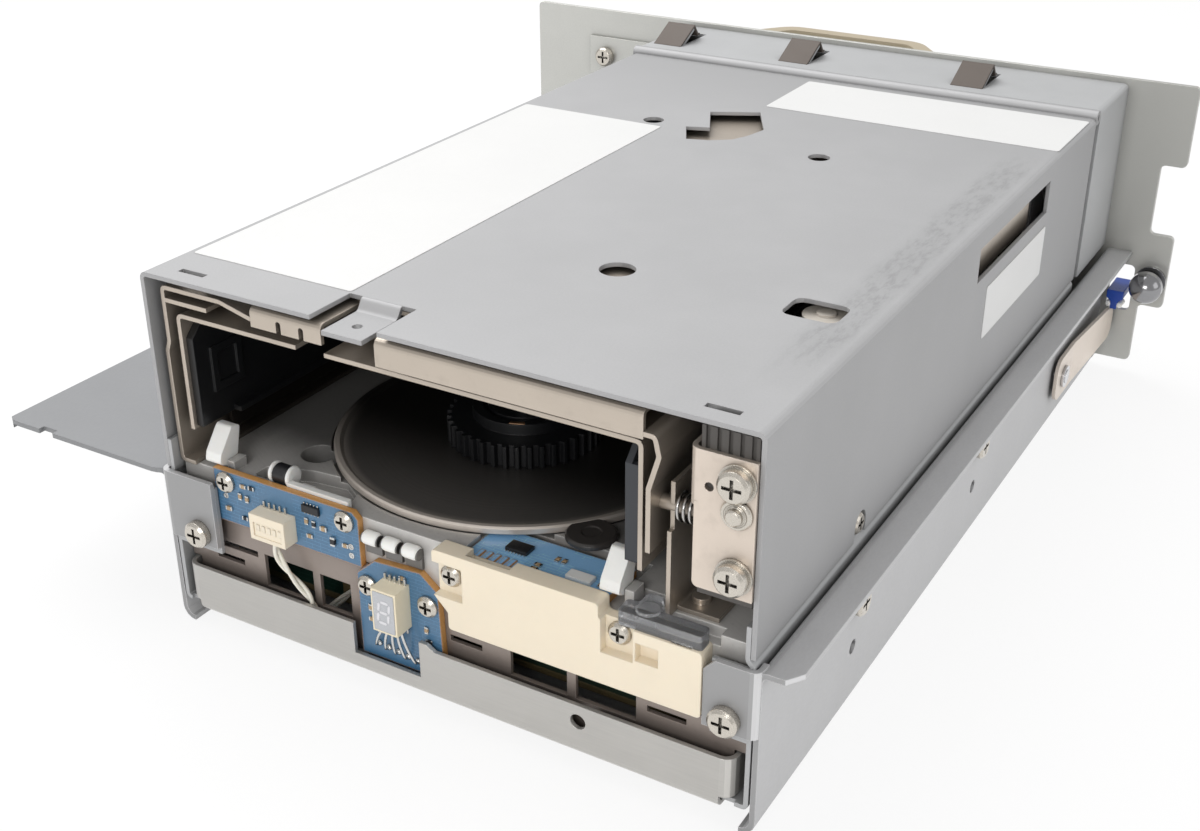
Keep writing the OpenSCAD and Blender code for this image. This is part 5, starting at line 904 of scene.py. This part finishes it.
class DRIVE_OT_boards(bpy.types.Operator):
    """Solders the small parts onto the boards"""

    bl_idname = "drive.boards"
    bl_label = "Board parts"

    def execute(self, context):
        grids = {name: bmesh.new() for name in ("tan", "chip", "solder", "white")}
        sensor = on_front(BOARD_FACE)
        leaded_part(grids, sensor, -34.8, 46.2, 4.6, 1.8, 0.8, 5)
        for i in range(5):
            prism(grids["solder"], box_outline(-46.2 + i * 1.5, 48.9, 0.5, 1.6), 0, 0.5, sensor)
        eyelet = [(0.75, 0), (0.75, 0.1), (0.4, 0.12), (0.35, 0.02), (0, 0.02)]
        for a, b in ((-57.4, 51.0), (-22.4, 55.6), (-22.4, 53.4)):
            lathe(grids["solder"], eyelet, sensor(a, b, 0), (0, -1, 0), 20)
        # White strip behind the board's top edge
        shelf = on_top(DECK_DEPTH)
        prism(grids["white"], rounded((-40.8, 3.15, -23.9, 4.7), 0.3), 0, 2.2, shelf)
        prism(grids["white"], rounded((-38.4, 4.7, -34.9, 6.2), 0.3), 0, 1.4, shelf)

        # The board's own chip stands 0.7 mm above its face
        memory = on_top(span("memory_board")[4] + 0.7)
        prism(grids["white"], rounded((28.4, 5.8, 34.2, 8.6), 0.3), 0, 0.85, memory)
        leaded_part(grids, memory, 12.4, 8.6, 5.2, 3.2, 0.9, 7)
        for place, parts in ((sensor, FRONT_PARTS), (memory, MEMORY_PARTS)):
            for w, h, thick, body, corners in parts:
                for a, b in corners:
                    chip_part(grids, place, a, b, w, h, thick, body)
        for name, grid in grids.items():
            bevel_sharp(grid, 0.05 * MM, 1)
            piece(f"board_parts_{name}", grid, name)
        return {"FINISHED"}


class DRIVE_OT_digit(bpy.types.Operator):
    """Sets the face, the seven bars and the lower pins of the display"""

    bl_idname = "drive.digit"
    bl_label = "Display digit"

    def execute(self, context):
        left, right, face = span("digit_block")[:3]
        grid = bmesh.new()
        inset = (left + 0.45, DIGIT_TOP + 0.5, right - 0.45, DIGIT_BOTTOM - 0.5)
        prism(grid, rounded(inset, 0.3), 0, 0.12, on_front(face))
        piece("digit_face", grid, "digit_face")

        centre, half_w, half_h = (left + right) / 2, 1.35, 2.6
        middle = (DIGIT_TOP + DIGIT_BOTTOM) / 2
        lean, bar = 0.12, 0.38
        grid = bmesh.new()
        for level in (-half_h, 0.0, half_h):
            end = half_w - 0.2
            ends = [(-end, 0), (-end + bar, -bar), (end - bar, -bar),
                    (end, 0), (end - bar, bar), (-end + bar, bar)]
            outline = [(centre + a - (level + b) * lean, middle + level + b) for a, b in ends]
            prism(grid, outline, 0.12, 0.2, on_front(face))
        for side in (-half_w, half_w):
            for low_b, high_b in ((-half_h + 0.15, -0.15), (0.15, half_h - 0.15)):
                ends = [(0, low_b), (bar, low_b + bar), (bar, high_b - bar),
                        (0, high_b), (-bar, high_b - bar), (-bar, low_b + bar)]
                outline = [(centre + side + a - b * lean, middle + b) for a, b in ends]
                prism(grid, outline, 0.12, 0.2, on_front(face))
        piece("digit_bars", grid, "digit_bar")

        grid = bmesh.new()
        pins = 5
        joint = [(0.8, 0), (0.7, 0.35), (0.35, 0.65), (0, 0.75)]
        for i in range(pins):
            x = left + (i + 0.5) * (right - left) / pins
            foot = -16.5 + 2.58 * i
            drop = 76.0 + 0.29 * i
            line = [
                at(x, face + 2.4, DIGIT_BOTTOM - 0.4),
                at(x, face + 2.3, DIGIT_BOTTOM + 0.9),
                at((x + foot) / 2, face + 2.6, (DIGIT_BOTTOM + drop) / 2),
                at(foot, face + 3.8, drop - 0.3),
                at(foot, face + 5.2, drop),
            ]
            swept(grid, through(line, 4), 0.34, 8)
            lathe(grid, joint, at(foot, BOARD_FACE, drop), (0, -1, 0), 14)
        piece("digit_pins", grid, "solder", True)
        return {"FINISHED"}


# Small turned pieces: name, finish, slot, axis, sides, radius of the edges (0 for a smooth form),
# places and profile. They are the grey fingers' pads, the nut on the loader's stud, the black roller over
# the sensor board with its caps, and the smoked wheel at the right of the memory board.
TURNED_PIECES = (
    ("contact_pads", "white", "roller_white", (1, 0, 0), 24, 0,
     ((-18.85, 1.7, 49.6), (-13.65, 1.7, 49.6), (-8.45, 1.7, 49.6)),
     ((0, 0), (1.0, 0.05), (1.45, 0.45), (1.6, 0.9), (1.6, 3.3), (1.45, 3.75), (1.0, 4.15), (0, 4.2))),
    ("stud_nut", "screw", "screw_nickel", (0, -1, 0), 32, 0.06,
     ((68.3, -0.8, 16.7),),
     ((3.1, 0), (3.1, 0.35), (2.8, 0.8), (2.35, 0.86), (2.2, 0.74), (1.95, 0.74),
      (1.85, 0.95), (1.65, 0.95), (1.62, 1.75), (1.3, 2.05), (0, 2.15))),
    ("sensor_roller", "black", "black_plastic", (1, 0, 0), 28, 0.1,
     ((-45.2, 5.6, 43.6),),
     ((0, 0), (2.0, 0), (2.3, 0.3), (2.3, 3.6), (2.0, 3.9), (0, 3.9))),
    ("sensor_roller_caps", "white", "roller_white", (1, 0, 0), 28, 0.1,
     ((-46.1, 5.6, 43.5), (-41.3, 5.6, 43.5)),
     ((0, 0), (2.1, 0), (2.45, 0.25), (2.45, 0.75), (2.1, 1.0), (0, 1.0))),
    ("smoked_wheel", "smoke", "black_plastic", (0, 0, 1), 40, 0.1,
     ((26.0, 20.4, DECK_DEPTH),),
     ((0, 0), (5.4, 0), (5.6, 0.2), (5.6, 0.9), (5.1, 1.4), (2.2, 1.45), (2.0, 1.2), (0, 1.2))),
)


def turned_piece(name, finish, slot, axis, sides, edge, places, profile):
    """One row of the table of turned pieces, made at each of its places."""
    grid = bmesh.new()
    for place in places:
        lathe(grid, profile, at(*place), axis, sides)
    if edge:
        bevel_sharp(grid, edge * MM)
    piece(name, grid, finish, not edge)


def latch_grip():
    """The latch's blue tab in its T shape, and the two white rollers below its arms."""
    left, right, front, back, top, bottom = span("latch_tab")
    middle = (left + right) / 2
    outline = [(left, top), (right, top), (right, top + 2.4), (middle + 1.1, top + 3.6),
               (middle + 0.9, bottom), (middle - 0.9, bottom), (middle - 1.1, top + 3.6), (left, top + 2.4)]
    grid = bmesh.new()
    prism(grid, outline, front, back, lambda a, b, h: at(a, h, b))
    bevel_sharp(grid, 0.25 * MM, 3)
    grip = piece("latch_grip", grid, "blue", body="latch")
    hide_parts("latch_tab")

    profile = [(0, 0), (0.6, 0), (0.85, 0.2), (0.85, 4.3), (0.6, 4.5), (0, 4.5)]
    grid = bmesh.new()
    for x in (left + 0.85, right - 0.85):
        lathe(grid, profile, at(x, front, bottom - 1.4), (0, 1, 0), 20)
    piece("latch_rollers", grid, "white", True, body="latch")


def hub_contacts():
    """The copper contacts in the ring of the chuck, which turn with it."""
    low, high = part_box("chuck_ring")
    middle = (low + high) / 2

    def on_ring(a, b, h):
        return Vector((middle.x + a * MM, middle.y + b * MM, high.z + h * MM))

    steps = 6
    grid = bmesh.new()
    for turn in HUB_TURNS:
        angles = [turn + HUB_HALF_ANGLE * (i / steps - 0.5) * 2 for i in range(steps + 1)]
        outline = [(HUB_OUT * math.cos(t), HUB_OUT * math.sin(t)) for t in angles]
        outline += [(HUB_IN * math.cos(t), HUB_IN * math.sin(t)) for t in reversed(angles)]
        prism(grid, outline, -0.7, 0.1, on_ring)
    bevel_sharp(grid, 0.08 * MM)
    piece("hub_contacts", grid, "magnet", body="chuck")


def cable_plug():
    """The plug of the sensor cable, with its five contacts."""
    left, right, front, _, top, bottom = span("board_connector")
    left, right, top, bottom = left + 1.1, right - 1.1, top + 1.1, bottom - 0.8
    face = on_front(front + 2.4)
    contacts = 5
    grid = bmesh.new()
    prism(grid, rounded((left, top, right, bottom), 0.3), 0, 2.2, face)
    for i in range(contacts):
        x = left + (right - left) * (i + 0.5) / contacts
        prism(grid, box_outline(x, top + 1.3, 0.9, 1.6), 2.2, 2.35, face)
    bevel_sharp(grid, 0.1 * MM)
    piece("cable_plug", grid, "cream")


class DRIVE_OT_fittings(bpy.types.Operator):
    """Fits the small turned and moulded pieces"""

    bl_idname = "drive.fittings"
    bl_label = "Small fittings"

    def execute(self, context):
        for row in TURNED_PIECES:
            turned_piece(*row)
        latch_grip()
        hub_contacts()
        cable_plug()
        return {"FINISHED"}


# Half the side of the floor, in metres, and the distances where it fades to white, in millimetres
FLOOR_HALF = 6.0
FADE_START = 450.0
FADE_END = 1300.0
# The camera that took the photograph: its place in metres, its lens and its angles in degrees
CAMERA_PLACE = (0.1653, -0.3371, 0.2110)
CAMERA_LENS = 46.32
CAMERA_YAW = 30.50
CAMERA_PITCH = 27.32
CAMERA_ROLL = -0.09


class DRIVE_OT_stage(bpy.types.Operator):
    """Builds the floor, the light and the camera"""

    bl_idname = "drive.stage"
    bl_label = "Studio"

    def execute(self, context):
        studio = context.scene.drive_studio
        grid = bmesh.new()
        half = FLOOR_HALF
        corners = ((-half, -half), (half, -half), (half, half), (-half, half))
        grid.faces.new([grid.verts.new((x, y, 0.0)) for x, y in corners])
        floor = from_bmesh("floor", grid)
        ground = Finish("floor_finish")
        ground.shader.inputs["Base Color"].default_value = tuple(studio.floor_colour)
        ground.shader.inputs["Roughness"].default_value = 0.9
        glow = ground.node("ShaderNodeEmission", {}, {"Color": (1, 1, 1, 1), "Strength": 1.0})
        path = ground.node("ShaderNodeLightPath")
        seen = ground.sum("MAXIMUM", path.outputs["Is Camera Ray"], path.outputs["Is Glossy Ray"])
        across, along = ground.axis(0), ground.axis(1)
        far = ground.between(across * across + along * along, FADE_START ** 2, FADE_END ** 2)
        share = seen * (far * 0.14 + 0.86)
        shaders = {0: share, 1: ground.shader.outputs[0], 2: glow.outputs[0]}
        blend = ground.node("ShaderNodeMixShader", {}, shaders)
        ground.tree.links.new(blend.outputs[0], ground.out.inputs["Surface"])
        floor.data.materials.append(ground.material)

        world = bpy.data.worlds.new("studio")
        context.scene.world = world
        world.use_nodes = True
        tree = world.node_tree
        back = tree.nodes["Background"]
        path = add_node(tree, "ShaderNodeLightPath")
        rays = {0: path.outputs["Is Camera Ray"], 1: path.outputs["Is Transmission Ray"]}
        seen = add_node(tree, "ShaderNodeMath", {"operation": "MAXIMUM"}, rays)
        ends = {0: seen.outputs[0], 3: studio.world_level, 4: 1.0}
        level = add_node(tree, "ShaderNodeMapRange", {}, ends)
        feed(tree, back.inputs["Strength"], level.outputs[0])
        feed(tree, back.inputs["Color"], (1, 1, 1, 1))

        for name, place, aim, size, share, colour in (
            ("key", (-0.5, 0.2, 0.95), (0, 0, 0.05), (0.9, 0.9), 1.0, (1, 1, 1)),
            ("front_fill", (0.18, -0.85, 0.42), (0, -0.08, 0.04), (0.4, 0.3), 0.24, (1, 0.985, 0.97)),
            ("side_fill", (0.95, 0.1, 0.4), (0.07, 0, 0.04), (0.6, 0.5), 0.1, (1, 1, 1)),
        ):
            lamp = bpy.data.lights.new(name, "AREA")
            lamp.shape = "RECTANGLE"
            lamp.size, lamp.size_y = size
            lamp.energy = studio.key_power * share
            lamp.color = colour
            holder = bpy.data.objects.new(name, lamp)
            holder.location = place
            ahead = Vector(aim) - Vector(place)
            holder.rotation_euler = ahead.to_track_quat("-Z", "Y").to_euler()
            context.scene.collection.objects.link(holder)

        lens = bpy.data.cameras.new("camera")
        lens.sensor_width = 36.0
        lens.lens = CAMERA_LENS
        lens.clip_start = 0.01
        camera = bpy.data.objects.new("camera", lens)
        yaw = Matrix.Rotation(math.radians(CAMERA_YAW), 4, "Z")
        pitch = Matrix.Rotation(math.radians(90 - CAMERA_PITCH), 4, "X")
        roll = Matrix.Rotation(math.radians(CAMERA_ROLL), 4, "Z")
        camera.matrix_world = Matrix.Translation(CAMERA_PLACE) @ yaw @ pitch @ roll
        context.scene.collection.objects.link(camera)
        context.scene.camera = camera
        context.scene.view_settings.view_transform = "Standard"
        return {"FINISHED"}


OPERATORS = (
    DRIVE_OT_stage,
    DRIVE_OT_finishes,
    DRIVE_OT_cable,
    DRIVE_OT_spring,
    DRIVE_OT_labels,
    DRIVE_OT_clips,
    DRIVE_OT_boards,
    DRIVE_OT_digit,
    DRIVE_OT_fittings,
)


class DRIVE_PT_panel(bpy.types.Panel):
    """Lists the drive's pieces and its studio"""

    bl_idname = "DRIVE_PT_panel"
    bl_label = "Tape Drive"
    bl_space_type = "VIEW_3D"
    bl_region_type = "UI"
    bl_category = "Tape Drive"

    def draw(self, context):
        for group in (context.scene.drive_sizes, context.scene.drive_studio):
            for name in group.__annotations__:
                self.layout.prop(group, name)
        for operator in OPERATORS:
            self.layout.operator(operator.bl_idname)


CLASSES = (DriveSizes, DriveStudio, *OPERATORS, DRIVE_PT_panel)


def register():
    for item in CLASSES:
        bpy.utils.register_class(item)
    bpy.types.Scene.drive_sizes = bpy.props.PointerProperty(type=DriveSizes)
    bpy.types.Scene.drive_studio = bpy.props.PointerProperty(type=DriveStudio)


def unregister():
    del bpy.types.Scene.drive_studio
    del bpy.types.Scene.drive_sizes
    for item in reversed(CLASSES):
        bpy.utils.unregister_class(item)


def main():
    register()
    for operator in OPERATORS:
        group, name = operator.bl_idname.split(".")
        getattr(getattr(bpy.ops, group), name)()
    bpy.context.view_layer.update()


if __name__ == "__main__":
    main()
